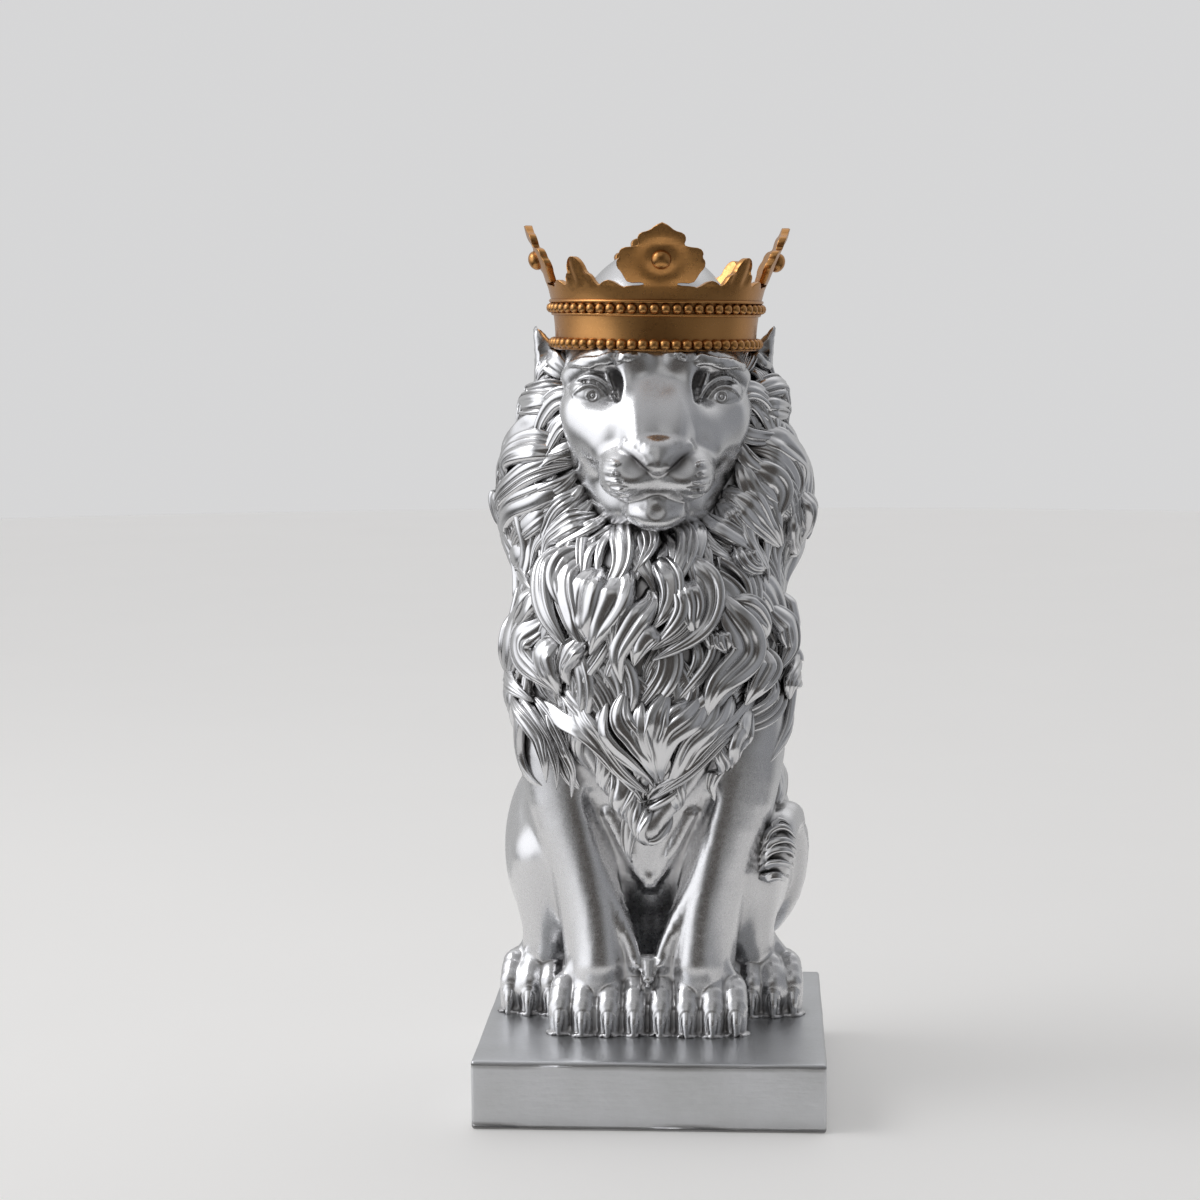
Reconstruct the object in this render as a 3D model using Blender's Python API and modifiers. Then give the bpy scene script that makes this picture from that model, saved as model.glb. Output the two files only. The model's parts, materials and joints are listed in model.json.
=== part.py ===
"""A seated lion that wears a crown, cast in resin and silvered, on a low rectangular plinth.

Run it with blender --background --python part.py, or from Blender's text editor.
The lion faces -Y, +Z is up, and the origin is the middle of the plinth's underside.
Sizes below are in millimetres. Each object's mesh is scaled to metres when it is made.
"""

import math
import random

import bmesh
import bpy
import numpy as np
from mathutils import Matrix, Vector, noise
from mathutils.bvhtree import BVHTree

METRES_PER_MM = 0.001
TOUCH_GAP = 0.3

# Plinth
PLINTH_WIDTH = 140.0
PLINTH_DEPTH = 149.0
PLINTH_HEIGHT = 27.7
PLINTH_EDGE = 0.9

# Lion
FEET_Z = PLINTH_HEIGHT + TOUCH_GAP
LION_TRIANGLES = 5650
DETAIL_FACTOR = 0.02
LEAN_AT_FEET = -2.2
LEAN_TOP_Z = 300.0
HEAD_PIVOT = Vector((0.5, 10.0, 300.0))
HEAD_YAW = math.radians(4.3)
HEAD_ROLL = math.radians(0.9)
DOME_RADIUS = 36.8
DOME_HEIGHT = 47.0

# Mane
LOCK_LENGTH = 54.0
LOCK_HALF_WIDTH = 8.8
LOCK_THICKNESS = 6.4
LOCK_SPACING = 13.5
LOCK_STEPS = 12
FACE_CENTRE = Vector((2.0, -20.0, 268.0))
FACE_HALF_WIDTH = 41.0
FACE_HALF_HEIGHT = 38.0
V_TIP_Z = 122.0

# Crown
CROWN_BASE_Z = 305.3
BAND_COLUMNS = 40
BAND_HEIGHT = 25.5
RIM_RADIUS = 44.8
WALL = 3.0
LEAF_LENGTH = 26.7
LEAF_LEAN_AT_RIM = math.radians(29)
LEAF_LEAN_AT_TIP = math.radians(13)
BEADS_IN_A_ROW = 60
LOW_BEADS = {"bottom": 0.3, "top": 4.7, "out": 2.3}
HIGH_BEADS = {"bottom": 14.9, "top": 18.5, "out": 2.2}
BOSS_RADIUS = 4.2
BOSS_HEIGHT_ON_LEAF = 11.5
SEAT_RADIUS_AT_BASE = 47.0
SEAT_RADIUS_AT_TOP = 50.0
SEAT_HEIGHT = 40.0

SILVER = {"color": (0.72, 0.73, 0.75), "roughness": 0.28, "metallic": 1.0}
SATIN_SILVER = {"color": (0.60, 0.61, 0.62), "roughness": 0.42, "metallic": 1.0}
GOLD = {"color": (0.66, 0.38, 0.13), "roughness": 0.36, "metallic": 1.0}


# Scene, objects and materials


def clear_scene():
    for old in list(bpy.data.objects):
        bpy.data.objects.remove(old)


def make_collection(name):
    collection = bpy.data.collections.new(name)
    bpy.context.scene.collection.children.link(collection)
    return collection


def make_material(name, finish):
    material = bpy.data.materials.new(name)
    material.use_nodes = True
    shader = material.node_tree.nodes["Principled BSDF"]
    shader.inputs["Base Color"].default_value = (*finish["color"], 1.0)
    shader.inputs["Roughness"].default_value = finish["roughness"]
    shader.inputs["Metallic"].default_value = finish["metallic"]
    return material


def object_from_bmesh(name, bm, collection):
    mesh = bpy.data.meshes.new(name)
    bm.to_mesh(mesh)
    bm.free()
    obj = bpy.data.objects.new(name, mesh)
    collection.objects.link(obj)
    return obj


def evaluated_bmesh(obj):
    """A bmesh of the object with its modifiers done, and the object removed."""
    graph = bpy.context.evaluated_depsgraph_get()
    mesh = bpy.data.meshes.new_from_object(obj.evaluated_get(graph))
    bm = bmesh.new()
    bm.from_mesh(mesh)
    bpy.data.objects.remove(obj)
    bpy.data.meshes.remove(mesh)
    return bm


def with_modifier(bm, collection, kind, **settings):
    """The bmesh after one modifier."""
    obj = object_from_bmesh("work", bm, collection)
    modifier = obj.modifiers.new(kind.title(), kind)
    for key, value in settings.items():
        setattr(modifier, key, value)
    return evaluated_bmesh(obj)


def voxel_skin(bm, collection, voxel):
    """One closed skin over all the shapes that the bmesh holds."""
    return with_modifier(bm, collection, "REMESH", mode="VOXEL", voxel_size=voxel, adaptivity=0.0)


def boolean(bm, cutter, collection, operation):
    """The bmesh joined to, or cut by, another one. Both are used up."""
    other = object_from_bmesh("cutter", cutter, collection)
    other.hide_render = True
    other.display_type = "WIRE"
    result = with_modifier(bm, collection, "BOOLEAN", object=other, operation=operation, solver="EXACT")
    bpy.data.objects.remove(other)
    return result


def finish_object(name, bm, material, collection, sharp_degrees):
    """The named object, in metres, triangulated, smooth but for its sharp edges."""
    bmesh.ops.scale(bm, vec=(METRES_PER_MM,) * 3, verts=bm.verts)
    bmesh.ops.triangulate(bm, faces=bm.faces)
    obj = object_from_bmesh(name, bm, collection)
    obj.data.materials.append(material)
    obj.data.shade_smooth()
    obj.data.set_sharp_from_angle(angle=math.radians(sharp_degrees))
    return obj


# Masses: the rounded forms that the lion is built up from, as a modeller builds up clay


class Ball:
    """An ellipsoid, added to the clay, or pressed into it if it cuts."""

    def __init__(self, centre, radii, blend, frame=None, turn=0.0, cuts=False):
        self.cuts = cuts
        self.frame = (frame or Matrix()) @ Matrix.Translation(centre) @ Matrix.Rotation(turn, 4, "Y")
        self.radii = np.array(radii, float)
        self.blend = blend

    def distance(self, points):
        basis = np.array(self.frame.to_3x3())
        local = (points - np.array(self.frame.translation)) @ basis
        near = np.linalg.norm(local / self.radii, axis=1)
        slope = np.linalg.norm(local / self.radii**2, axis=1)
        return near * (near - 1.0) / np.maximum(slope, 1e-9)

    def add_shape(self, bm):
        matrix = self.frame @ Matrix.Diagonal((*self.radii, 1.0))
        bmesh.ops.create_icosphere(bm, subdivisions=3, radius=1.0, matrix=matrix)


class Limb:
    """A tapering tube with round ends through a list of (x, y, z, radius)."""

    cuts = False

    def __init__(self, stations, blend, frame=None):
        frame = frame or Matrix()
        self.points = [frame @ Vector(s[:3]) for s in stations]
        self.radii = [s[3] for s in stations]
        self.blend = blend

    def distance(self, points):
        nearest = np.full(len(points), 1e9)
        spans = zip(self.points, self.points[1:], self.radii, self.radii[1:])
        for start, end, start_radius, end_radius in spans:
            along = np.array(end - start)
            share = np.clip((points - np.array(start)) @ along / (along @ along), 0.0, 1.0)
            offset = points - np.array(start) - share[:, None] * along
            radius = start_radius + share * (end_radius - start_radius)
            nearest = np.minimum(nearest, np.linalg.norm(offset, axis=1) - radius)
        return nearest

    def add_shape(self, bm):
        for point, radius in zip(self.points, self.radii):
            bmesh.ops.create_icosphere(bm, subdivisions=2, radius=radius, matrix=Matrix.Translation(point))
        spans = zip(self.points, self.points[1:], self.radii, self.radii[1:])
        for start, end, start_radius, end_radius in spans:
            along = end - start
            turn = along.to_track_quat("Z", "Y").to_matrix().to_4x4()
            matrix = Matrix.Translation((start + end) / 2) @ turn
            bmesh.ops.create_cone(
                bm, cap_ends=True, segments=14, radius1=start_radius, radius2=end_radius,
                depth=along.length, matrix=matrix,
            )


def smooth_least(a, b, blend):
    share = np.clip(0.5 + 0.5 * (b - a) / blend, 0.0, 1.0)
    return b + (a - b) * share - blend * share * (1.0 - share)


def clay_distance(masses, points):
    """Distance to the masses pressed together, each blended into those before it."""
    total = masses[0].distance(points)
    for mass in masses[1:]:
        distance = mass.distance(points)
        if mass.cuts:
            total = -smooth_least(-total, distance, mass.blend)
        else:
            total = smooth_least(total, distance, mass.blend)
    return total


def clay_slope(masses, points, step=0.05):
    here = clay_distance(masses, points)
    slope = np.empty_like(points)
    for axis in range(3):
        moved = points.copy()
        moved[:, axis] += step
        slope[:, axis] = (clay_distance(masses, moved) - here) / step
    return here, slope


def clay_skin(masses, collection, voxel, rounds=4):
    """A closed skin whose points lie on the blended surface of the masses."""
    bm = bmesh.new()
    for mass in masses:
        if not mass.cuts:
            mass.add_shape(bm)
    bm = voxel_skin(bm, collection, voxel)
    points = np.array([v.co for v in bm.verts])
    for _ in range(rounds):
        here, slope = clay_slope(masses, points)
        size = np.maximum((slope**2).sum(axis=1), 0.2)
        points -= slope * np.clip(here / size, -voxel, voxel)[:, None]
    for vert, point in zip(bm.verts, points):
        vert.co = point
    return bm


# The lion's body


def head_frame():
    """Turns the head and the crown a little to the lion's left, about the neck."""
    turn = Matrix.Rotation(HEAD_YAW, 4, "Z") @ Matrix.Rotation(HEAD_ROLL, 4, "Y")
    return Matrix.Translation(HEAD_PIVOT) @ turn @ Matrix.Translation(-HEAD_PIVOT)


def trunk_masses():
    return [
        Ball((0, 0, 170), (47, 36, 56), 10),
        Ball((0, 18, 120), (42, 40, 62), 14),
        Ball((0, 33, 80), (42, 36, 50), 14),
        Limb([(0, -2, 122, 21), (0, 6, 84, 17), (0, 8, 46, 14)], 6),
        Limb([(0, -17, 116, 5), (0, -15, 84, 3.5), (0, -14, 52, 3)], 6),
    ]


def leg_masses(side):
    """A foreleg, and the folded hind leg behind it. The lion's left haunch is a little slimmer."""
    slim = 3.5 if side > 0 else 0.0
    foreleg = Limb(
        [
            (side * 35, 0, 182, 20.5),
            (side * 37.5, -5, 152, 18),
            (side * 35.5, -8, 122, 15.8),
            (side * 27.5, -13, 90, 12.6),
            (side * 21.8, -16, 62, 12.8),
            (side * 20.8, -19, 46, 12.8),
        ],
        5,
    )
    haunch = Ball((side * (41 - slim), 26, 95), (22.5, 37, 40), 7)
    shank = Limb(
        [(side * (45 - slim), 0, 96, 13.0), (side * (43 - slim), 8, 62, 11.5), (side * 46, 18, 42, 11)], 6,
    )
    foot = Limb([(side * 43, 54, 38, 11), (side * 46, 30, 38, 11), (side * 50, 8, 38, 12)], 5)
    return [foreleg, haunch, shank, foot]


def toe_masses(side, x, front_y, knuckle_z, width, splay):
    """One toe with its claw: up over two knuckles, and down to the plinth."""
    x = side * x
    lean = side * splay
    toe = Limb(
        [
            (x - lean, front_y + 22, knuckle_z - 4, width * 1.02),
            (x - lean * 0.4, front_y + 12.5, knuckle_z - width, width * 1.05),
            (x, front_y + 7, knuckle_z - width - 6.5, width),
            (x, front_y + 5.6, FEET_Z + 2.5, width * 0.9),
        ],
        1.6,
    )
    claw = Limb(
        [
            (x + lean * 0.1, front_y + 4.2, FEET_Z + 9.5, 2.5),
            (x + lean * 0.15, front_y + 1.9, FEET_Z + 4.5, 2.0),
            (x + lean * 0.2, front_y + 1.1, FEET_Z - 0.5, 1.0),
        ],
        0.6,
    )
    return [toe, claw]


def paw_masses(side):
    masses = []
    for x, forward, splay in ((5.4, 0.0, 0.2), (15.9, 0.8, 0.5), (26.4, 0.6, 1.2), (35.8, -1.6, 2.4)):
        masses += toe_masses(side, x, -38.0 - forward, 49.5, 5.2, splay)
    for x, forward, splay in ((33.5, 1.5, 0.0), (41.8, 2.5, 0.8), (50.8, 2.0, 1.6), (59.2, -1.0, 3.0)):
        masses += toe_masses(side, x, -4.5 - forward, 51.5, 4.7, splay)
    return masses


def tail_masses():
    """The tail leaves the rump, climbs the left haunch, and its tuft hangs over the front of it."""
    tail = Limb(
        [
            (0, 66, 42, 7), (26, 66, 42, 6.5), (45, 55, 52, 6.2), (57, 38, 72, 6),
            (60, 22, 96, 6), (57, 9, 112, 6.5),
        ],
        3.5,
    )
    tuft = Limb([(57, 9, 112, 6.5), (54.5, -2, 111, 7.5), (52.5, -8, 102, 8), (51, -9, 92, 6.6)], 3)
    return [tail, tuft]


def head_masses():
    """Skull, brow, bridge, muzzle, nose, chin, cheeks and eyes of the lion."""
    head = head_frame()
    masses = [
        Ball((0, 10, 300), (DOME_RADIUS, DOME_RADIUS, DOME_HEIGHT), 3, head),
        Ball((0, -5, 290), (36, 25, 22), 8, head),
        Ball((0, -7, 264), (32, 22, 27), 10, head),
        Ball((0, -36, 258), (20, 15, 12.5), 7, head),
        Ball((0, -13, 243), (21, 20, 13), 8, head),
        Ball((0, -35.5, 242.5), (12.8, 12.0, 6.8), 3, head),
    ]
    for side in (1, -1):
        bridge = [
            (6.8, -15, 303, 11), (7.0, -22.5, 288, 10), (6.4, -34, 276, 9.5), (5.6, -43.5, 269.5, 7.5),
        ]
        brow = [(17.5, -24, 300, 6.5), (28, -19, 297, 5.5), (34, -12, 290, 5)]
        masses += [
            Limb([(side * x, y, z, radius) for x, y, z, radius in bridge], 5, head),
            Ball((side * 10.5, -43.5, 257), (10.2, 11.0, 8.6), 3, head),
            Limb([(side * x, y, z, radius) for x, y, z, radius in brow], 4, head),
            Ball((side * 25.5, -17, 272.5), (9, 10, 9), 7, head),
            Ball((side * 25.3, -21.5, 287.0), (8.6, 7.0, 5.4), 1.2, head, side * math.radians(-22)),
            Ball((side * 15.5, -31, 291), (2.2, 5.0, 8.0), 2.5, head, 0.0, True),
            Ball((side * 16.5, -28, 280.5), (2.8, 4.0, 3.6), 2.5, head, 0.0, True),
        ]
    nose = [
        Ball((0, -50.5, 267.5), (11.5, 6.0, 4.6), 2.5, head),
        Ball((0, -53.0, 262.5), (5.0, 4.2, 4.8), 2.0, head),
        Ball((0, -52, 249.8), (10.5, 7.5, 1.5), 1.2, head, 0.0, True),
        Ball((0, -56, 256), (1.1, 3.5, 5.5), 1.0, head, 0.0, True),
    ]
    nostrils = [
        Ball((side * 8.0, -57.5, 263.4), (5.0, 3.2, 1.7), 1.0, head, side * math.radians(-38), True)
        for side in (1, -1)
    ]
    return masses + nose + nostrils


def mane_masses():
    """The bulk of the mane, under its locks."""
    return [
        Ball((0, 20, 246), (63, 36, 56), 1),
        Ball((0, 20, 284), (51, 33, 28), 10),
        Ball((0, 0, 198), (53, 40, 44), 12),
        Ball((0, -10, 172), (40, 31, 46), 10),
        Limb([(0, -22, 168, 20), (0, -27, 146, 13), (0, -27, 131, 6)], 8),
        Ball((0, 24, 222), (48, 32, 66), 10),
    ]


def ear_masses(side):
    head = head_frame()
    return [
        Limb([(side * 45, 17, 289, 9), (side * 48, 16, 302, 6.4), (side * 51.5, 15, 314, 1.6)], 2, head),
        Ball((side * 49.5, 9.0, 303), (3.0, 4.6, 8.0), 1.5, head, side * math.radians(16), True),
    ]


# The mane's locks


def smooth_step(low, high, value):
    share = min(max((value - low) / (high - low), 0.0), 1.0)
    return share * share * (3.0 - 2.0 * share)


def hair_direction(point):
    """The way the hair lies: out from the face, then down, drawing in to the point on the chest."""
    away = Vector((point.x - FACE_CENTRE.x, 0.0, point.z - FACE_CENTRE.z))
    reach = away.length
    away.normalize()
    away.z = min(away.z, 0.1)
    at_front = 1.0 - smooth_step(5.0, 45.0, point.y)
    spread = at_front * (1.0 - smooth_step(30.0, 95.0, reach))
    gather = at_front * (1.0 - smooth_step(135.0, 195.0, point.z))
    inward = Vector((-point.x / 45.0, 0.0, 0.0))
    down = Vector((0.0, 0.0, -1.0))
    return away * (1.1 * spread) + down * (0.55 + 0.4 * (1 - spread)) + inward * (1.1 * gather)


def lock_path(tree, root, length, wave, phase):
    """Points and surface normals along a lock that lies on the mane and swings from side to side."""
    point, normal, _, _ = tree.find_nearest(root)
    step = length / LOCK_STEPS
    path = [(point.copy(), normal.copy())]
    for index in range(LOCK_STEPS):
        ahead = hair_direction(point)
        ahead = (ahead - normal * ahead.dot(normal)).normalized()
        swing = wave * math.cos(phase + 1.5 * math.pi * index / LOCK_STEPS)
        heading = (ahead + normal.cross(ahead) * swing).normalized()
        point, normal, _, _ = tree.find_nearest(point + heading * step)
        path.append((point.copy(), normal.copy()))
    return path


def add_lock(bm, path, half_width, thickness, tip_lift):
    """A leaf-shaped lock along its path: a ball drawn out, fat in its first half and pointed at its tip."""
    made = bmesh.ops.create_uvsphere(bm, u_segments=8, v_segments=len(path) - 1, radius=1.0)["verts"]
    last = len(path) - 1
    for vert in made:
        around = math.atan2(vert.co.y, vert.co.x)
        share = math.acos(max(-1.0, min(1.0, -vert.co.z))) / math.pi
        index = min(int(round(share * last)), last)
        point, normal = path[index]
        tangent = (path[min(index + 1, last)][0] - path[max(index - 1, 0)][0]).normalized()
        side = normal.cross(tangent).normalized()
        swell = math.sin(math.pi * share**0.72) ** 0.8 if 0 < index < last else 0.0
        lift = tip_lift * share**3
        rise = (thickness * (0.25 + 0.35 * share) + lift) * math.sin(math.pi * min(share + 0.12, 1.0))
        height = rise + thickness * swell * math.sin(around) + lift
        vert.co = point + side * (half_width * swell * math.cos(around)) + normal * height


def face_ring():
    """Where the locks that frame the face spring from, from one ear under the chin to the other."""
    head = head_frame()
    count = 21
    for index in range(count):
        angle = math.radians(-128 + 256 * index / (count - 1))
        yield head @ Vector((40.0 * math.sin(angle), -10.0, 264.0 - 36.0 * math.cos(angle)))


def scattered_roots(skin, mane, rest):
    """Roots spread evenly over the mane, none nearer to another than the spacing."""
    draw = random.Random(7)
    points = np.array([v.co for v in skin.verts])
    on_mane = mane_mask(points, mane, rest)
    candidates = [Vector(p) for p in points[on_mane]]
    draw.shuffle(candidates)
    chosen = []
    for point in candidates:
        room = LOCK_SPACING * (0.8 + 0.35 * smooth_step(40, 80, (point - FACE_CENTRE).length))
        if all((point - other).length > room for other in chosen):
            chosen.append(point)
    return chosen


def mane_mask(points, mane, rest):
    """Which points of the skin belong to the mane: not the face, the dome or the legs."""
    hair = clay_distance(mane, points)
    body = clay_distance(rest, points)
    low_edge = np.where(points[:, 1] < 0, V_TIP_Z + 18 + 0.75 * np.abs(points[:, 0]), 168.0)
    across = (points[:, 0] - FACE_CENTRE.x) / FACE_HALF_WIDTH
    up = (points[:, 2] - FACE_CENTRE.z) / FACE_HALF_HEIGHT
    in_face = (across**2 + up**2 < 1.0) & (points[:, 1] < 5.0)
    in_height = (points[:, 2] > low_edge) & (points[:, 2] < 300.0)
    return (hair < body + 1.0) & (hair < 3.5) & in_height & ~in_face


def add_mane_locks(bm, skin, mane, rest):
    tree = BVHTree.FromBMesh(skin)
    roots = [(root, 0.82) for root in scattered_roots(skin, mane, rest)]
    roots += [(root, 0.8) for root in face_ring()]
    for root, scale in roots:
        swirl = noise.noise(root * 0.02) * 2.2
        size = scale * (0.9 + 0.35 * noise.noise(root * 0.11 + Vector((5, 5, 5))))
        top = smooth_step(255.0, 295.0, root.z)
        narrow = size * (1 - 0.3 * top)
        length = LOCK_LENGTH * size * (1.0 - 0.45 * top)
        path = lock_path(tree, root, length, 0.75, 2.0 * swirl)
        add_lock(bm, path, LOCK_HALF_WIDTH * narrow, LOCK_THICKNESS * narrow, 1.6)


def add_elbow_locks(bm, skin):
    """Hair that hangs over the elbows."""
    tree = BVHTree.FromBMesh(skin)
    for side in (1, -1):
        for x, y, z in ((38, -26, 152), (33, -28, 148)):
            path = lock_path(tree, Vector((side * x, y, z)), 30, 0.2, side)
            add_lock(bm, path, 4.2, 3.0, 0.5)


# Assembling the lion


def lean(bm):
    """Brings the feet a little to the lion's right of its head, as the casting stands."""
    for vert in bm.verts:
        vert.co.x += LEAN_AT_FEET * (1.0 - vert.co.z / LEAN_TOP_Z)


def crown_seat():
    """The ring of space round the skull that the crown stands in."""
    ring = bmesh.new()
    bmesh.ops.create_cone(
        ring, cap_ends=True, segments=BAND_COLUMNS, radius1=SEAT_RADIUS_AT_BASE, radius2=SEAT_RADIUS_AT_TOP,
        depth=SEAT_HEIGHT, matrix=Matrix.Translation((0, 0, SEAT_HEIGHT / 2)),
    )
    core = bmesh.new()
    inner = DOME_RADIUS + TOUCH_GAP
    bmesh.ops.create_cone(
        core, cap_ends=True, segments=BAND_COLUMNS, radius1=inner, radius2=inner, depth=3 * SEAT_HEIGHT,
    )
    return ring, core


def seat_crown(bm, collection):
    """Cuts the hair back to a level ledge that the crown's lower edge rests on."""
    ring, core = crown_seat()
    ring = boolean(ring, core, collection, "DIFFERENCE")
    ring.transform(crown_place() @ Matrix.Translation((0, 0, -TOUCH_GAP)))
    return boolean(bm, ring, collection, "DIFFERENCE")


def cut_feet_flat(bm):
    """Cuts the lion off where it stands, and closes the cut."""
    everything = bm.verts[:] + bm.edges[:] + bm.faces[:]
    sole = (0, 0, FEET_Z)
    bmesh.ops.bisect_plane(bm, geom=everything, plane_co=sole, plane_no=(0, 0, -1), clear_outer=True)
    rim = [edge for edge in bm.edges if edge.is_boundary]
    bmesh.ops.holes_fill(bm, edges=rim, sides=0)


def keeps_detail(point):
    """How far the thinning is held back: most in the face, less in the paws, a little in the front."""
    if point.y < -13 and point.z > 236 and abs(point.x - FACE_CENTRE.x) < 38:
        return 0.95
    if point.z < 62 and point.y < 6:
        return 0.5
    return 0.1 if point.y < 0 else 0.0


def thin_out(bm, collection, triangles):
    """Fewer triangles, with more of them left where there is detail."""
    bmesh.ops.triangulate(bm, faces=bm.faces)
    ratio = triangles / len(bm.faces)
    weights = [1.0 - keeps_detail(v.co) for v in bm.verts]
    obj = object_from_bmesh("work", bm, collection)
    group = obj.vertex_groups.new(name="thin")
    for index, weight in enumerate(weights):
        group.add([index], weight, "REPLACE")
    modifier = obj.modifiers.new("Thin", "DECIMATE")
    modifier.ratio = ratio
    modifier.use_collapse_triangulate = True
    modifier.vertex_group = group.name
    modifier.vertex_group_factor = DETAIL_FACTOR
    return evaluated_bmesh(obj)


def add_bmesh(bm, other):
    """Puts another bmesh's faces into this one, and frees it."""
    mesh = bpy.data.meshes.new("added")
    other.to_mesh(mesh)
    other.free()
    bm.from_mesh(mesh)
    bpy.data.meshes.remove(mesh)


def make_lion(collection, helpers, material):
    legs = [mass for side in (1, -1) for mass in leg_masses(side)]
    paws = [mass for side in (1, -1) for mass in paw_masses(side)]
    ears = [mass for side in (1, -1) for mass in ear_masses(side)]
    head = head_masses()
    mane = mane_masses()
    large = trunk_masses() + mane + legs + tail_masses() + head
    skin = clay_skin(large, helpers, voxel=2.6)
    locks = bmesh.new()
    add_mane_locks(locks, skin, mane, head + legs)
    add_elbow_locks(locks, skin)
    skin.free()
    lion = clay_skin(large + ears + paws, helpers, voxel=1.6)
    add_bmesh(lion, locks)
    lion = voxel_skin(lion, helpers, voxel=1.4)
    lean(lion)
    lion = thin_out(lion, helpers, LION_TRIANGLES)
    lion = seat_crown(lion, helpers)
    cut_feet_flat(lion)
    return finish_object("lion", lion, material, collection, 50)


# The plinth


def make_plinth(collection, material):
    bm = bmesh.new()
    size = Matrix.Diagonal((PLINTH_WIDTH, PLINTH_DEPTH, PLINTH_HEIGHT, 1.0))
    bmesh.ops.create_cube(bm, size=1.0, matrix=Matrix.Translation((0, 0, PLINTH_HEIGHT / 2)) @ size)
    edges = [edge for edge in bm.edges if max(v.co.z for v in edge.verts) > 1.0]
    bmesh.ops.bevel(
        bm, geom=edges, offset=PLINTH_EDGE, segments=2, profile=0.5, affect="EDGES", material=-1,
    )
    return finish_object("plinth", bm, material, collection, 30)


# The crown


def crown_place():
    """Where the crown's own frame, with its lower edge at height 0, stands on the head."""
    return head_frame() @ Matrix.Translation((HEAD_PIVOT.x, HEAD_PIVOT.y, CROWN_BASE_Z))


def wall_point(along, up, depth):
    """A point of the crown's wall: along its rim, up from its lower edge, and depth into its thickness.

    The band has a waist and a flare. Above it the leaves lean out, less and less towards their tips.
    """
    if up <= BAND_HEIGHT:
        share = up / BAND_HEIGHT
        radius = 41.4 - 0.8 * share + 4.2 * share**2
        height = up
    else:
        rise = up - BAND_HEIGHT
        bend = (LEAF_LEAN_AT_RIM - LEAF_LEAN_AT_TIP) / LEAF_LENGTH
        lean_here = LEAF_LEAN_AT_RIM - bend * rise
        radius = RIM_RADIUS + (math.cos(lean_here) - math.cos(LEAF_LEAN_AT_RIM)) / bend
        height = BAND_HEIGHT + (math.sin(LEAF_LEAN_AT_RIM) - math.sin(lean_here)) / bend
    angle = along / RIM_RADIUS - math.pi / 2
    radius -= depth
    return Vector((radius * math.cos(angle), radius * math.sin(angle), height))


def large_leaf():
    """Half of a large leaf from its neck to its tip, with the slit under its lowest lobe."""
    return [
        (15.4, -0.6), (13.4, 0.2), (6.8, 0.5), (6.8, 1.6), (13.0, 1.3), (14.4, 4.2), (15.0, 6.0), (16.6, 8.2),
        (16.4, 11.0), (15.0, 12.6), (15.2, 14.6), (13.6, 16.5), (9.6, 16.9), (7.7, 17.6), (8.4, 20.2),
        (7.4, 22.4), (4.2, 23.4), (2.0, 25.6), (0.0, LEAF_LENGTH),
    ]


def small_leaf():
    """Half of a small leaf between two large ones, and half of the wave of the rim beside it."""
    return [
        (14.8, 3.0), (11.5, 1.9), (9.4, 0.2), (7.6, 1.6), (6.4, 5.0), (4.2, 6.2), (3.6, 9.6), (1.9, 12.2),
        (0.0, 13.0),
    ]


def rim_outline():
    """The rim laid flat, once round: four large leaves with a small one after each."""
    quarter = RIM_RADIUS * math.pi / 2
    outline = []
    for index in range(4):
        large = index * quarter
        small = large + quarter / 2
        outline += [(large + x, y) for x, y in reversed(large_leaf())]
        outline += [(small - x, y) for x, y in small_leaf()]
        outline += [(small + x, y) for x, y in reversed(small_leaf()[:-1])]
        outline += [(large + quarter - x, y) for x, y in large_leaf()[:-1]]
    return [(x, BAND_HEIGHT + y) for x, y in outline]


def flat_wall():
    """The whole wall laid flat as a plate, with its outer side on y = 0 and the cuts that let it bend."""
    bm = bmesh.new()
    length = RIM_RADIUS * 2 * math.pi
    top = rim_outline() + [(length, BAND_HEIGHT + LEAF_LENGTH)]
    corners = [(0.0, 0.0)] + top + [(length, 0.0)]
    bm.faces.new([bm.verts.new((x, 0.0, y)) for x, y in corners])
    for index in range(1, BAND_COLUMNS):
        cut_plate(bm, bm.faces, (length * index / BAND_COLUMNS, 0, 0), (1, 0, 0))
    heights = [BAND_HEIGHT / 2 - 3.0, BAND_HEIGHT + 9.1, BAND_HEIGHT + 18.1]
    heights += [row[edge] for row in (LOW_BEADS, HIGH_BEADS) for edge in ("bottom", "top")]
    for height in heights:
        cut_plate(bm, bm.faces, (0, 0, height), (0, 0, 1))
    extruded = bmesh.ops.extrude_face_region(bm, geom=bm.faces[:])["geom"]
    moved = [item for item in extruded if isinstance(item, bmesh.types.BMVert)]
    bmesh.ops.translate(bm, vec=(0, WALL, 0), verts=moved)
    return bm


def cut_plate(bm, faces, point, normal):
    """Cuts the faces along a plane. Faces beside them only gain corners."""
    parts = set(faces)
    for face in faces:
        parts.update(face.edges)
        parts.update(face.verts)
    bmesh.ops.bisect_plane(bm, geom=list(parts), dist=0.01, plane_co=point, plane_no=normal)


def outer_faces(bm, row):
    """The faces on the outer side between the two edges of a row of beads."""
    low = row["bottom"] - 0.01
    high = row["top"] + 0.01
    return [f for f in bm.faces if all(abs(v.co.y) < 0.01 and low < v.co.z < high for v in f.verts)]


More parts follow.
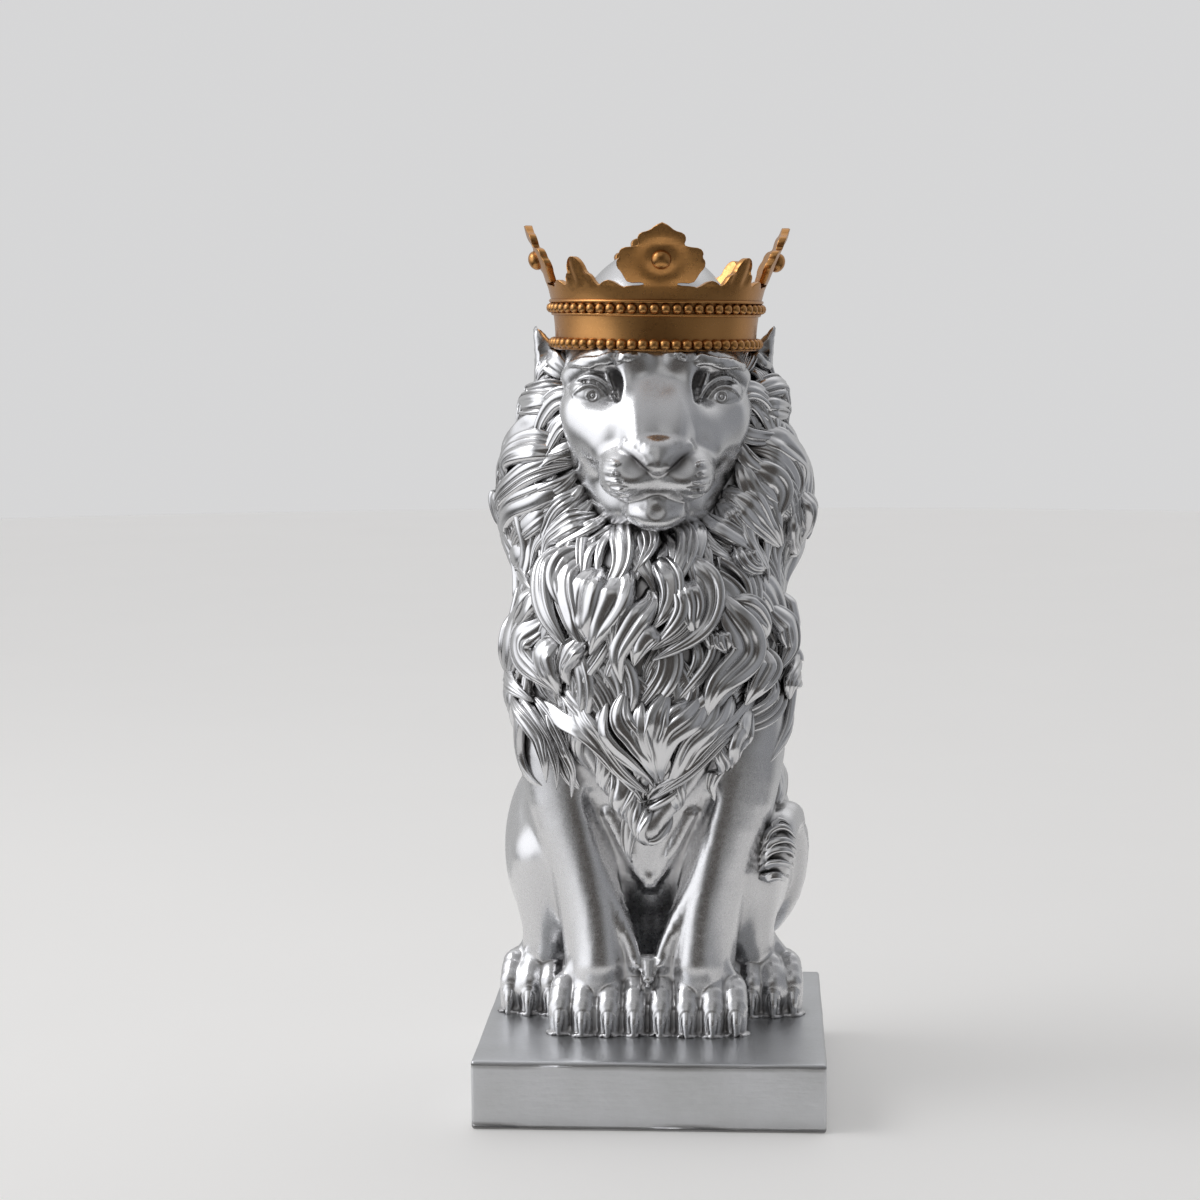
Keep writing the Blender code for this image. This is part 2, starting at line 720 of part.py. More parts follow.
def raise_beads(bm, row):
    """Cuts a row of the flat wall two columns to a bead, and draws the middle of each bead out."""
    length = RIM_RADIUS * 2 * math.pi
    middle = (row["bottom"] + row["top"]) / 2
    pitch = length / BEADS_IN_A_ROW
    for index in range(1, 2 * BEADS_IN_A_ROW):
        place = pitch * index / 2
        near = [f for f in outer_faces(bm, row) if abs(f.calc_center_median().x - place) < 2 * pitch]
        cut_plate(bm, near, (place, 0, 0), (1, 0, 0))
    cut_plate(bm, outer_faces(bm, row), (0, 0, middle), (0, 0, 1))
    for vert in bm.verts:
        if abs(vert.co.y) < 0.01 and abs(vert.co.z - middle) < 0.01:
            vert.co.y = -row["out"] * (0.45 + 0.55 * math.sin(math.pi * vert.co.x / pitch) ** 2)


def bend_wall(bm):
    """Bends the flat plate into the crown, and joins its two ends."""
    length = RIM_RADIUS * 2 * math.pi
    ends = [f for f in bm.faces if all(min(v.co.x, length - v.co.x) < 0.01 for v in f.verts)]
    bmesh.ops.delete(bm, geom=ends, context="FACES")
    bmesh.ops.triangulate(bm, faces=bm.faces)
    for vert in bm.verts:
        vert.co = wall_point(vert.co.x, vert.co.z, vert.co.y)
    bmesh.ops.remove_doubles(bm, verts=bm.verts, dist=0.01)
    bmesh.ops.recalc_face_normals(bm, faces=bm.faces)


def add_bosses(bm):
    """A domed boss in the middle of each large leaf."""
    quarter = RIM_RADIUS * math.pi / 2
    for index in range(4):
        centre = wall_point(index * quarter, BAND_HEIGHT + BOSS_HEIGHT_ON_LEAF, 0.6)
        squash = Matrix.Diagonal((0.75, 1.0, 1.0, 1.0))
        turn = Matrix.Rotation(index * math.pi / 2 - math.pi / 2, 4, "Z")
        matrix = Matrix.Translation(centre) @ turn @ squash
        bmesh.ops.create_icosphere(bm, subdivisions=1, radius=BOSS_RADIUS, matrix=matrix)


def make_crown(collection, helpers, material):
    crown = flat_wall()
    for row in (LOW_BEADS, HIGH_BEADS):
        raise_beads(crown, row)
    bend_wall(crown)
    bosses = bmesh.new()
    add_bosses(bosses)
    crown = boolean(crown, bosses, helpers, "UNION")
    crown.transform(crown_place())
    return finish_object("crown", crown, material, collection, 35)


def main():
    clear_scene()
    collection = make_collection("crowned_lion")
    helpers = make_collection("helpers")
    make_plinth(collection, make_material("satin_silver", SATIN_SILVER))
    make_lion(collection, helpers, make_material("silver", SILVER))
    make_crown(collection, helpers, make_material("gold", GOLD))


main()
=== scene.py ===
"""A seated lion with a flowing mane and a leaf-topped crown, silvered and gilded, on a low plinth.

The lion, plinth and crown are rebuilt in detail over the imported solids, and each piece replaces its solid.
Sizes are in millimetres. Each finished mesh is scaled to metres, with its object at the origin.
The lion faces -Y, +Z is up, and its own left is +X.
"""

import json
import logging
import math
import random
from dataclasses import dataclass
from enum import Enum
from typing import Callable, Sequence

import bmesh
import bpy
import numpy as np
from mathutils import Matrix, Vector, noise
from mathutils.bvhtree import BVHTree

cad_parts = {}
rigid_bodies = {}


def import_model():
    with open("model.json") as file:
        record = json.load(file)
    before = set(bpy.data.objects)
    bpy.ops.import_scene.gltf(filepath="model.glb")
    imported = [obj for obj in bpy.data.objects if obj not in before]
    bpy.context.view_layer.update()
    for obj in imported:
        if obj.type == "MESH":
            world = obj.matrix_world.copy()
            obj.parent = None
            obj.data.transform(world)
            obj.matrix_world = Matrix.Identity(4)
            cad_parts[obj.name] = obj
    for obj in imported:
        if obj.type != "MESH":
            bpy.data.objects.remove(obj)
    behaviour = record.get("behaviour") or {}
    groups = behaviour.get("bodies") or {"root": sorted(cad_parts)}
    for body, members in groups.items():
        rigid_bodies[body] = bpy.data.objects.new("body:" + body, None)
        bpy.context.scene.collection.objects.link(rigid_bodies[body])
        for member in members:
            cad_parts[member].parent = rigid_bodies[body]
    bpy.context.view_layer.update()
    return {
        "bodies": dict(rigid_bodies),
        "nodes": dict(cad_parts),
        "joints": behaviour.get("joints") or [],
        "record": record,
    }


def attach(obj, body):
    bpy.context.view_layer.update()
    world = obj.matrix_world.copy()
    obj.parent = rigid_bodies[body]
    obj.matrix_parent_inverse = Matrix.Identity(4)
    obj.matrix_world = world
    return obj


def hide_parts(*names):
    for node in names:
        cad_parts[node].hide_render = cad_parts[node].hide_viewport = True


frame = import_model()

LOG = logging.getLogger("crowned_lion")
MM = 0.001
BODY = "root"

Array = np.ndarray
Point = tuple[float, float, float]
Station = tuple[float, float, float, float]


class Slot(Enum):
    """The record's material slots."""

    SILVER = "silver"
    SATIN = "satin_silver"
    GOLD = "gold"


class Side(Enum):
    """The lion's own left and right, as the sign of X."""

    LEFT = 1.0
    RIGHT = -1.0


# Clay: rounded masses that are pressed together, each blended into those before it


class Mass:
    """One rounded form, added to the clay or pressed into it."""

    blend: float
    cuts: bool
    centre: Array
    reach: float

    def distance(self, points: Array) -> Array:
        """The distance of each point from the form's surface, negative inside it."""
        raise NotImplementedError

    def add_shape(self, bm: bmesh.types.BMesh) -> None:
        """Puts a rough copy of the form into a mesh."""


class Ball(Mass):
    """An ellipsoid."""

    def __init__(
        self, centre: Point, radii: Point, blend: float, frame: Matrix | None = None, turn: float = 0.0,
        cuts: bool = False, tilt: float = 0.0,
    ) -> None:
        """Places the ellipsoid.

        Args:
            centre: Its middle, in the frame's own coordinates.
            radii: Its three half sizes.
            blend: How far its joint with the clay is smoothed.
            frame: The frame that it is placed in, such as the head's.
            turn: How far it is turned about the frame's Y, in degrees.
            cuts: Whether it is pressed into the clay.
            tilt: How far it is then turned about its own X, in degrees.
        """
        place = (frame or Matrix()) @ Matrix.Translation(centre)
        turned = place @ Matrix.Rotation(math.radians(turn), 4, "Y")
        self.matrix = turned @ Matrix.Rotation(math.radians(tilt), 4, "X")
        self.radii = np.array(radii, float)
        self.blend = blend
        self.cuts = cuts
        self.centre = np.array(self.matrix.translation)
        self.reach = float(self.radii.max())

    def distance(self, points: Array) -> Array:
        """Distance from the ellipsoid, close to exact near its surface.

        Args:
            points: The places to measure from.

        Returns:
            One distance for each point.
        """
        local = (points - self.centre) @ np.array(self.matrix.to_3x3())
        near = np.linalg.norm(local / self.radii, axis=1)
        slope = np.linalg.norm(local / self.radii**2, axis=1)
        return near * (near - 1.0) / np.maximum(slope, 1e-9)

    def add_shape(self, bm: bmesh.types.BMesh) -> None:
        """Adds the ellipsoid to a mesh."""
        matrix = self.matrix @ Matrix.Diagonal((*self.radii, 1.0))
        bmesh.ops.create_icosphere(bm, subdivisions=3, radius=1.0, matrix=matrix)


class Limb(Mass):
    """A tapering tube with round ends, on a smooth curve through its stations."""

    def __init__(
        self, stations: Sequence[Station], blend: float, frame: Matrix | None = None, cuts: bool = False,
        spans: int = 3,
    ) -> None:
        """Draws the curve.

        Args:
            stations: Places on the curve with the tube's radius there.
            blend: How far its joint with the clay is smoothed.
            frame: The frame that the stations are given in.
            cuts: Whether it is pressed into the clay.
            spans: Straight spans between two stations.
        """
        rows = smooth_rows(np.array(stations, float), spans)
        matrix = np.array(frame or Matrix())
        self.points = rows[:, :3] @ matrix[:3, :3].T + matrix[:3, 3]
        self.radii = np.maximum(rows[:, 3], 0.05)
        self.blend = blend
        self.cuts = cuts
        self.centre = (self.points.min(axis=0) + self.points.max(axis=0)) / 2
        self.reach = float((np.linalg.norm(self.points - self.centre, axis=1) + self.radii).max())

    def distance(self, points: Array) -> Array:
        """Distance from the tube.

        Args:
            points: The places to measure from.

        Returns:
            One distance for each point.
        """
        nearest = np.full(len(points), 1e9)
        for index in range(len(self.points) - 1):
            start = self.points[index]
            along = self.points[index + 1] - start
            share = np.clip((points - start) @ along / max(along @ along, 1e-9), 0.0, 1.0)
            offset = points - start - share[:, None] * along
            radius = self.radii[index] + share * (self.radii[index + 1] - self.radii[index])
            nearest = np.minimum(nearest, np.sqrt((offset**2).sum(axis=1)) - radius)
        return nearest

    def add_shape(self, bm: bmesh.types.BMesh) -> None:
        """Adds the tube to a mesh as a row of balls.

        Args:
            bm: The mesh that takes it.
        """
        spans = zip(self.points, self.points[1:], self.radii, self.radii[1:])
        for start, end, start_radius, end_radius in spans:
            steps = max(1, int(np.linalg.norm(end - start) / (0.6 * min(start_radius, end_radius) + 0.4)))
            for step in range(steps):
                share = step / steps
                radius = start_radius + share * (end_radius - start_radius)
                place = Matrix.Translation(Vector(start + share * (end - start)))
                level = 2 if radius > 4 else 1
                bmesh.ops.create_icosphere(bm, subdivisions=level, radius=radius, matrix=place)
        place = Matrix.Translation(Vector(self.points[-1]))
        bmesh.ops.create_icosphere(bm, subdivisions=2, radius=self.radii[-1], matrix=place)


class Seat(Mass):
    """The ring of space round the skull that the crown stands in."""

    cuts = True

    def __init__(self, place: Matrix, inner: float, outer: float, blend: float) -> None:
        """Places the ring.

        Args:
            place: The crown's own frame, with its lower edge at height 0.
            inner: The ring's inner radius.
            outer: The ring's outer radius.
            blend: How far its edges are smoothed.
        """
        self.place = place
        self.inner = inner
        self.outer = outer
        self.blend = blend
        self.centre = np.array(place.translation)
        self.reach = outer + 50.0

    def distance(self, points: Array) -> Array:
        """Distance from the ring of space.

        Args:
            points: The places to measure from.

        Returns:
            One distance for each point.
        """
        local = in_frame(points, self.place)
        radius = np.hypot(local[:, 0], local[:, 1])
        outside = radius - self.outer - 0.15 * np.maximum(local[:, 2], 0.0)
        return np.maximum(np.maximum(outside, self.inner - radius), -local[:, 2])


def smooth_rows(rows: Array, spans: int) -> Array:
    """A smooth curve through the rows.

    Args:
        rows: The rows that the curve passes through.
        spans: Straight spans between two rows.

    Returns:
        The rows of the curve.
    """
    if len(rows) < 3 or spans < 2:
        return rows
    padded = np.vstack([2 * rows[0] - rows[1], rows, 2 * rows[-1] - rows[-2]])
    curve = []
    for index in range(1, len(padded) - 2):
        before, start, end, after = padded[index - 1:index + 3]
        for step in range(spans):
            t = step / spans
            curve.append(
                0.5 * (2 * start + (end - before) * t + (2 * before - 5 * start + 4 * end - after) * t**2
                       + (3 * start - before - 3 * end + after) * t**3)
            )
    curve.append(rows[-1])
    return np.array(curve)


def smooth_step(low: float, high: float, value: float | Array) -> float | Array:
    """Rises smoothly from 0 at low to 1 at high."""
    share = np.clip((value - low) / (high - low), 0.0, 1.0)
    return share * share * (3.0 - 2.0 * share)


def smooth_least(a: Array, b: Array, blend: float) -> Array:
    """The lesser of two distances, rounded where they are closer than the blend."""
    share = np.clip(0.5 + 0.5 * (b - a) / blend, 0.0, 1.0)
    return b + (a - b) * share - blend * share * (1.0 - share)


def in_frame(points: Array, place: Matrix) -> Array:
    """The places of points in a frame's own coordinates."""
    inverse = np.array(place.inverted())
    return points @ inverse[:3, :3].T + inverse[:3, 3]


def mirrored(side: Side, rows: Sequence[tuple]) -> list[tuple]:
    """Places given on the lion's left, brought to a side. The first number of each is its X."""
    return [(side.value * x, *rest) for x, *rest in rows]


class Clay:
    """Masses pressed together in order, and the skin over them."""

    far = 30.0
    margin = 7.0

    def __init__(self, masses: Sequence[Mass]) -> None:
        """Keeps the masses, in the order that they are pressed together."""
        self.masses = list(masses)

    def distance(self, points: Array) -> Array:
        """Distance from the clay's surface.

        Args:
            points: The places to measure from.

        Returns:
            One distance for each point.
        """
        total = np.full(len(points), self.far)
        for mass in self.masses:
            limit = mass.reach + mass.blend + self.margin
            near = np.flatnonzero(((points - mass.centre) ** 2).sum(axis=1) < limit**2)
            if not len(near):
                continue
            distance = mass.distance(points[near])
            before = total[near]
            if mass.cuts:
                total[near] = -smooth_least(-before, distance, mass.blend)
            else:
                total[near] = smooth_least(before, distance, mass.blend)
        return total

    def settle(self, points: Array, rounds: int, stride: float) -> Array:
        """Moves points onto the clay's surface.

        Args:
            points: The points to move.
            rounds: How many times each point is corrected.
            stride: The furthest that a point moves in one round.

        Returns:
            The moved points.
        """
        step = 0.04
        for _ in range(rounds):
            here = self.distance(points)
            slope = np.empty_like(points)
            for axis in range(3):
                moved = points.copy()
                moved[:, axis] += step
                slope[:, axis] = (self.distance(moved) - here) / step
            size = np.maximum((slope**2).sum(axis=1), 0.25)
            points = points - slope * np.clip(here / size, -stride, stride)[:, None]
        return points

    def skin(self, voxel: float, zones: Sequence[Callable[[Array], Array]] = ()) -> bmesh.types.BMesh:
        """A closed skin on the clay's surface, finer in some zones.

        Args:
            voxel: The size of the skin's squares.
            zones: Tests of which points lie in a zone. Each zone's squares are halved.

        Returns:
            The skin.
        """
        bm = bmesh.new()
        for mass in self.masses:
            if not mass.cuts:
                mass.add_shape(bm)
        bm = remeshed(bm, voxel)
        self._settle_mesh(bm, 3, voxel)
        for level, zone in enumerate(zones):
            inside = zone(mesh_points(bm))
            edges = [e for e in bm.edges if inside[e.verts[0].index] and inside[e.verts[1].index]]
            bmesh.ops.subdivide_edges(bm, edges=edges, cuts=1, use_grid_fill=True)
            bmesh.ops.triangulate(bm, faces=[f for f in bm.faces if len(f.verts) > 4])
            bm.verts.index_update()
            inside = zone(mesh_points(bm))
            bmesh.ops.smooth_vert(
                bm, verts=[v for v in bm.verts if inside[v.index]], factor=0.5,
                use_axis_x=True, use_axis_y=True, use_axis_z=True,
            )
            self._settle_mesh(bm, 3, voxel / 2 ** (level + 1))
        return bm

    def _settle_mesh(self, bm: bmesh.types.BMesh, rounds: int, stride: float) -> None:
        """Moves a mesh's points onto the clay's surface."""
        set_points(bm, self.settle(mesh_points(bm), rounds, stride))


# Mesh helpers


def mesh_points(bm: bmesh.types.BMesh) -> Array:
    """The places of a mesh's points, one in each row."""
    return np.array([v.co for v in bm.verts], float).reshape(-1, 3)


def set_points(bm: bmesh.types.BMesh, points: Array) -> None:
    """Moves a mesh's points to new places, given in the same order."""
    for vert, point in zip(bm.verts, points):
        vert.co = point


def remeshed(bm: bmesh.types.BMesh, voxel: float) -> bmesh.types.BMesh:
    """One closed skin of even squares over all the shapes in a mesh.

    Args:
        bm: The mesh with the shapes. It is used up.
        voxel: The size of the squares.

    Returns:
        The skin.
    """
    mesh = bpy.data.meshes.new("work")
    bm.to_mesh(mesh)
    bm.free()
    obj = bpy.data.objects.new("work", mesh)
    bpy.context.scene.collection.objects.link(obj)
    modifier = obj.modifiers.new("Remesh", "REMESH")
    modifier.mode = "VOXEL"
    modifier.voxel_size = voxel
    modifier.adaptivity = 0.0
    result = bpy.data.meshes.new_from_object(obj.evaluated_get(bpy.context.evaluated_depsgraph_get()))
    bpy.data.objects.remove(obj)
    bpy.data.meshes.remove(mesh)
    skin = bmesh.new()
    skin.from_mesh(result)
    bpy.data.meshes.remove(result)
    return skin


def placed(name: str, bm: bmesh.types.BMesh, material: bpy.types.Material) -> bpy.types.Object:
    """Makes a mesh into an object of the scene, at the origin.

    Args:
        name: The object's name.
        bm: The mesh. It is used up.
        material: Its material.

    Returns:
        The object.
    """
    mesh = bpy.data.meshes.new(name)
    bm.to_mesh(mesh)
    bm.free()
    mesh.materials.append(material)
    obj = bpy.data.objects.new(name, mesh)
    bpy.context.scene.collection.objects.link(obj)
    return obj


def hollow_of(mesh: bpy.types.Mesh, rounds: int) -> Array:
    """How deep each point lies in a hollow, from 0 on a plain or a ridge to 1 in a sharp crease.

    Args:
        mesh: The mesh, in millimetres.
        rounds: How many times the result is evened out.

    Returns:
        One value for each point.
    """
    count = len(mesh.vertices)
    points = np.empty(count * 3)
    mesh.vertices.foreach_get("co", points)
    points = points.reshape(-1, 3)
    normals = np.empty(count * 3)
    mesh.vertex_normals.foreach_get("vector", normals)
    normals = normals.reshape(-1, 3)
    edges = np.empty(len(mesh.edges) * 2, int)
    mesh.edges.foreach_get("vertices", edges)
    first, second = edges.reshape(-1, 2).T
    along = points[second] - points[first]
    length = np.maximum(np.linalg.norm(along, axis=1), 1e-6)
    bend = np.bincount(first, (along * normals[first]).sum(axis=1) / length**2, count)
    bend += np.bincount(second, -(along * normals[second]).sum(axis=1) / length**2, count)
    ways = np.bincount(first, minlength=count) + np.bincount(second, minlength=count)
    bend = bend / np.maximum(ways, 1)
    for _ in range(rounds):
        spread = np.bincount(first, bend[second], count) + np.bincount(second, bend[first], count)
        bend = 0.4 * bend + 0.6 * spread / np.maximum(ways, 1)
    return np.clip(bend * 2.2, 0.0, 1.0)


def finish_piece(
    name: str, bm: bmesh.types.BMesh, material: bpy.types.Material, node: str,
    recess: Array | None = None, sharp: float | None = None, painted_shade: Array | None = None,
) -> bpy.types.Object:
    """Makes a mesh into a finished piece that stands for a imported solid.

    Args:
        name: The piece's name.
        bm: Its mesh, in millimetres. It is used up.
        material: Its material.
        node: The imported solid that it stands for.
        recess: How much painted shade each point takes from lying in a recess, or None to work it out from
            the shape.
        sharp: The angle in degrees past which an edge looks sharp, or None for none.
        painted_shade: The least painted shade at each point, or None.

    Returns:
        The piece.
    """
    piece = placed(name, bm, material)
    mesh = piece.data
    mesh.shade_smooth()
    # Painted shade: hollows of the surface are darkened through the recess attribute.
    values = hollow_of(mesh, 2) if recess is None else recess
    if painted_shade is not None:
        values = np.maximum(values, painted_shade)
    attribute = mesh.attributes.new("recess", "FLOAT", "POINT")
    attribute.data.foreach_set("value", np.asarray(values, np.float32))
    mesh.transform(Matrix.Diagonal((MM, MM, MM, 1.0)))
    if sharp is not None:
        mesh.set_sharp_from_angle(angle=math.radians(sharp))
    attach(piece, BODY)
    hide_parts(node)
    triangles = sum(len(polygon.vertices) - 2 for polygon in mesh.polygons)
    LOG.info("%s: %d triangles", name, triangles)
    return piece


# Finishes


class NodeSheet:
    """A node tree, filled by short calls."""

    def __init__(self, owner: bpy.types.Material | bpy.types.World) -> None:
        """Starts on the nodes of a material or a world.

        Args:
            owner: The material or the world.
        """
        owner.use_nodes = True
        self.owner = owner
        self.tree = owner.node_tree

    def add(self, kind: str, inputs: dict | None = None, **settings: object) -> bpy.types.Node:
        """Adds a node.

        Args:
            kind: The node's type.
            inputs: What goes into its sockets: a value, or another node's output.
            **settings: The node's own settings.

        Returns:
            The node.
        """
        node = self.tree.nodes.new(kind)
        for key, value in settings.items():
            setattr(node, key, value)
        for key, value in (inputs or {}).items():
            self.feed(node.inputs[key], value)
        return node

    def feed_shader(self, inputs: dict) -> None:
        """Sets or joins sockets of the material's shader."""
        for key, value in inputs.items():
            self.feed(self.tree.nodes["Principled BSDF"].inputs[key], value)

    def feed(self, socket: bpy.types.NodeSocket, value: object) -> None:
        """Sets a socket, or joins another node's output to it.

        Args:
            socket: The socket.
            value: A value or an output.
        """
        if isinstance(value, bpy.types.NodeSocket):
            self.tree.links.new(value, socket)
        else:
            socket.default_value = value

    def noise(
        self, scale: float, detail: float, stretch: Point = (1.0, 1.0, 1.0), rough: float = 0.5,
    ) -> bpy.types.NodeSocket:
        """Noise on the object's own coordinates.

        Args:
            scale: Features in a metre.
            detail: Finer layers on top.
            stretch: How much finer it is along each axis.
            rough: The strength of the finer layers.

        Returns:
            The noise's value.
        """
        place = self.add("ShaderNodeTexCoord").outputs["Object"]
        mapped = self.add("ShaderNodeMapping", {"Vector": place, "Scale": stretch})
        inputs = {"Vector": mapped.outputs["Vector"], "Scale": scale, "Detail": detail, "Roughness": rough}
        return self.add("ShaderNodeTexNoise", inputs).outputs["Fac"]

    def remap(
        self, value: bpy.types.NodeSocket, low: float, high: float, to_low: float, to_high: float,
    ) -> bpy.types.NodeSocket:
        """Moves a value from the range low to high to the range to_low to to_high."""
        inputs = {"Value": value, "From Min": low, "From Max": high, "To Min": to_low, "To Max": to_high}
        return self.add("ShaderNodeMapRange", inputs).outputs["Result"]

    def mix(
        self, share: bpy.types.NodeSocket, first: object, second: object, blend: str = "MIX",
    ) -> bpy.types.NodeSocket:
        """Mixes two colours.

        Args:
            share: How much of the second there is.
            first: The first colour.
            second: The second colour.
            blend: The way of mixing.

        Returns:
            The mixed colour.
        """
        node = self.add("ShaderNodeMix", {0: share, 6: first, 7: second}, data_type="RGBA", blend_type=blend)
        return node.outputs[2]

    def attribute(self, name: str) -> bpy.types.NodeSocket:
        """A value that the mesh carries at each point."""
        return self.add("ShaderNodeAttribute", attribute_name=name, attribute_type="GEOMETRY").outputs["Fac"]

    def math(self, operation: str, first: object, second: object) -> bpy.types.NodeSocket:
        """The result of an operation, such as ADD, on two values."""
        return self.add("ShaderNodeMath", {0: first, 1: second}, operation=operation).outputs[0]

    def vector(self, operation: str, inputs: dict) -> bpy.types.Node:
        """A node of vector arithmetic."""
        return self.add("ShaderNodeVectorMath", inputs, operation=operation)


@dataclass(frozen=True)
class LeafFinish:
    """A metallic coat over a cast, with painted shade: plain on high places, darker and duller in recesses.
    """

    name: str
    colour: Point
    tint: Point
    painted_shade: Point
    roughness: float
    roughness_spread: float
    painted_shade_strength: float
    grain: float
    brush: float
    brush_stretch: Point
    coat: float

    def material(self) -> bpy.types.Material:
        """The finish as a material: mottled, brushed, and darkened by painted shade in recesses and where
        ambient occlusion finds shade.
        """
        sheet = NodeSheet(bpy.data.materials.new(self.name))
        cloud = sheet.noise(38.0, 3.0)
        speckle = sheet.noise(620.0, 2.0)
        brushed = sheet.noise(140.0, 4.0, self.brush_stretch, 0.62)
        # Painted shade: the recess values and ambient occlusion darken the colour and dull the roughness.
        recess = sheet.attribute("recess")
        shade = sheet.add("ShaderNodeAmbientOcclusion", {"Distance": 0.007}, samples=6)
        closed = sheet.math("SUBTRACT", 1.0, shade.outputs["AO"])
        painted_shade_share = sheet.math("ADD", sheet.math("MULTIPLY", recess, 0.75), sheet.math("MULTIPLY", closed, 0.8))
        painted_shade_share = sheet.math("MULTIPLY", painted_shade_share, sheet.remap(cloud, 0.3, 0.7, 0.75, 1.15))
        painted_shade_share = sheet.remap(painted_shade_share, 0.06, 1.0, 0.0, self.painted_shade_strength)
        base = sheet.mix(sheet.remap(cloud, 0.35, 0.7, 0.0, 1.0), (*self.colour, 1.0), (*self.tint, 1.0))
        colour = sheet.mix(painted_shade_share, base, (*self.painted_shade, 1.0))
        spread = self.roughness_spread
        roughness = sheet.remap(speckle, 0.3, 0.7, self.roughness - spread, self.roughness + spread)
        roughness = sheet.math("ADD", roughness, sheet.math("MULTIPLY", painted_shade_share, 0.16))
        fine = sheet.add("ShaderNodeBump", {"Height": speckle, "Strength": self.grain, "Distance": 0.0002})
        lines = sheet.add(
            "ShaderNodeBump",
            {"Height": brushed, "Strength": self.brush, "Distance": 0.0004, "Normal": fine.outputs["Normal"]},
        )
        sheet.feed_shader({
            "Base Color": colour, "Metallic": 1.0, "Roughness": roughness, "Normal": lines.outputs["Normal"],
            "Coat Weight": self.coat, "Coat Roughness": 0.12,
        })
        return sheet.owner


# The finishes. The third colour of each is the painted shade that darkens its recesses.
POLISHED_SILVER = LeafFinish(
    "polished_silver", (0.80, 0.80, 0.81), (0.72, 0.72, 0.73), (0.10, 0.092, 0.085), roughness=0.19,
    roughness_spread=0.03, painted_shade_strength=0.85, grain=0.05, brush=0.05, brush_stretch=(1.0, 1.0, 0.45),
    coat=0.15,
)
BRUSHED_SILVER = LeafFinish(
    "brushed_silver", (0.76, 0.76, 0.77), (0.71, 0.71, 0.72), (0.10, 0.09, 0.085), roughness=0.27,
    roughness_spread=0.03, painted_shade_strength=0.85, grain=0.05, brush=0.05, brush_stretch=(3.2, 1.0, 0.5),
    coat=0.1,
)
PLINTH_SILVER = LeafFinish(
    "plinth_silver", (0.66, 0.67, 0.69), (0.60, 0.61, 0.62), (0.12, 0.11, 0.10), roughness=0.36,
    roughness_spread=0.05, painted_shade_strength=0.7, grain=0.16, brush=0.22, brush_stretch=(0.5, 0.8, 4.0),
    coat=0.05,
)
# Gold, with painted shade in its recesses.
GOLD_WITH_PAINTED_SHADE = LeafFinish(
    "gold_with_painted_shade", (0.60, 0.305, 0.105), (0.53, 0.255, 0.080), (0.10, 0.040, 0.015), roughness=0.30,
    roughness_spread=0.04, painted_shade_strength=0.9, grain=0.05, brush=0.08, brush_stretch=(0.7, 0.7, 3.2),
    coat=0.15,
)


# The head's and the crown's places


@dataclass(frozen=True)
class Pose:
    """How the head is turned, how the body leans, and where the feet stand."""

    pivot: Point = (0.5, 10.0, 300.0)
    yaw: float = 4.3
    roll: float = 0.9
    lean_at_feet: float = -2.2
    lean_top: float = 300.0
    feet: float = 28.0
    crown_base: float = 305.3

    def head(self) -> Matrix:
        """Turns the head a little to the lion's left, about the neck."""
        turn = Matrix.Rotation(math.radians(self.yaw), 4, "Z")
        turn = turn @ Matrix.Rotation(math.radians(self.roll), 4, "Y")
        pivot = Vector(self.pivot)
        return Matrix.Translation(pivot) @ turn @ Matrix.Translation(-pivot)

    def crown(self) -> Matrix:
        """The crown's own frame, with its lower edge at height 0."""
        return self.head() @ Matrix.Translation((self.pivot[0], self.pivot[1], self.crown_base))

    def lean(self, points: Array) -> Array:
        """Brings the feet a little to the lion's right of its head, as the casting stands.

        Args:
            points: The points before the lean.

        Returns:
            The points after it.
        """
        moved = points.copy()
        moved[:, 0] += self.lean_at_feet * (1.0 - points[:, 2] / self.lean_top)
        return moved


POSE = Pose()


# The head


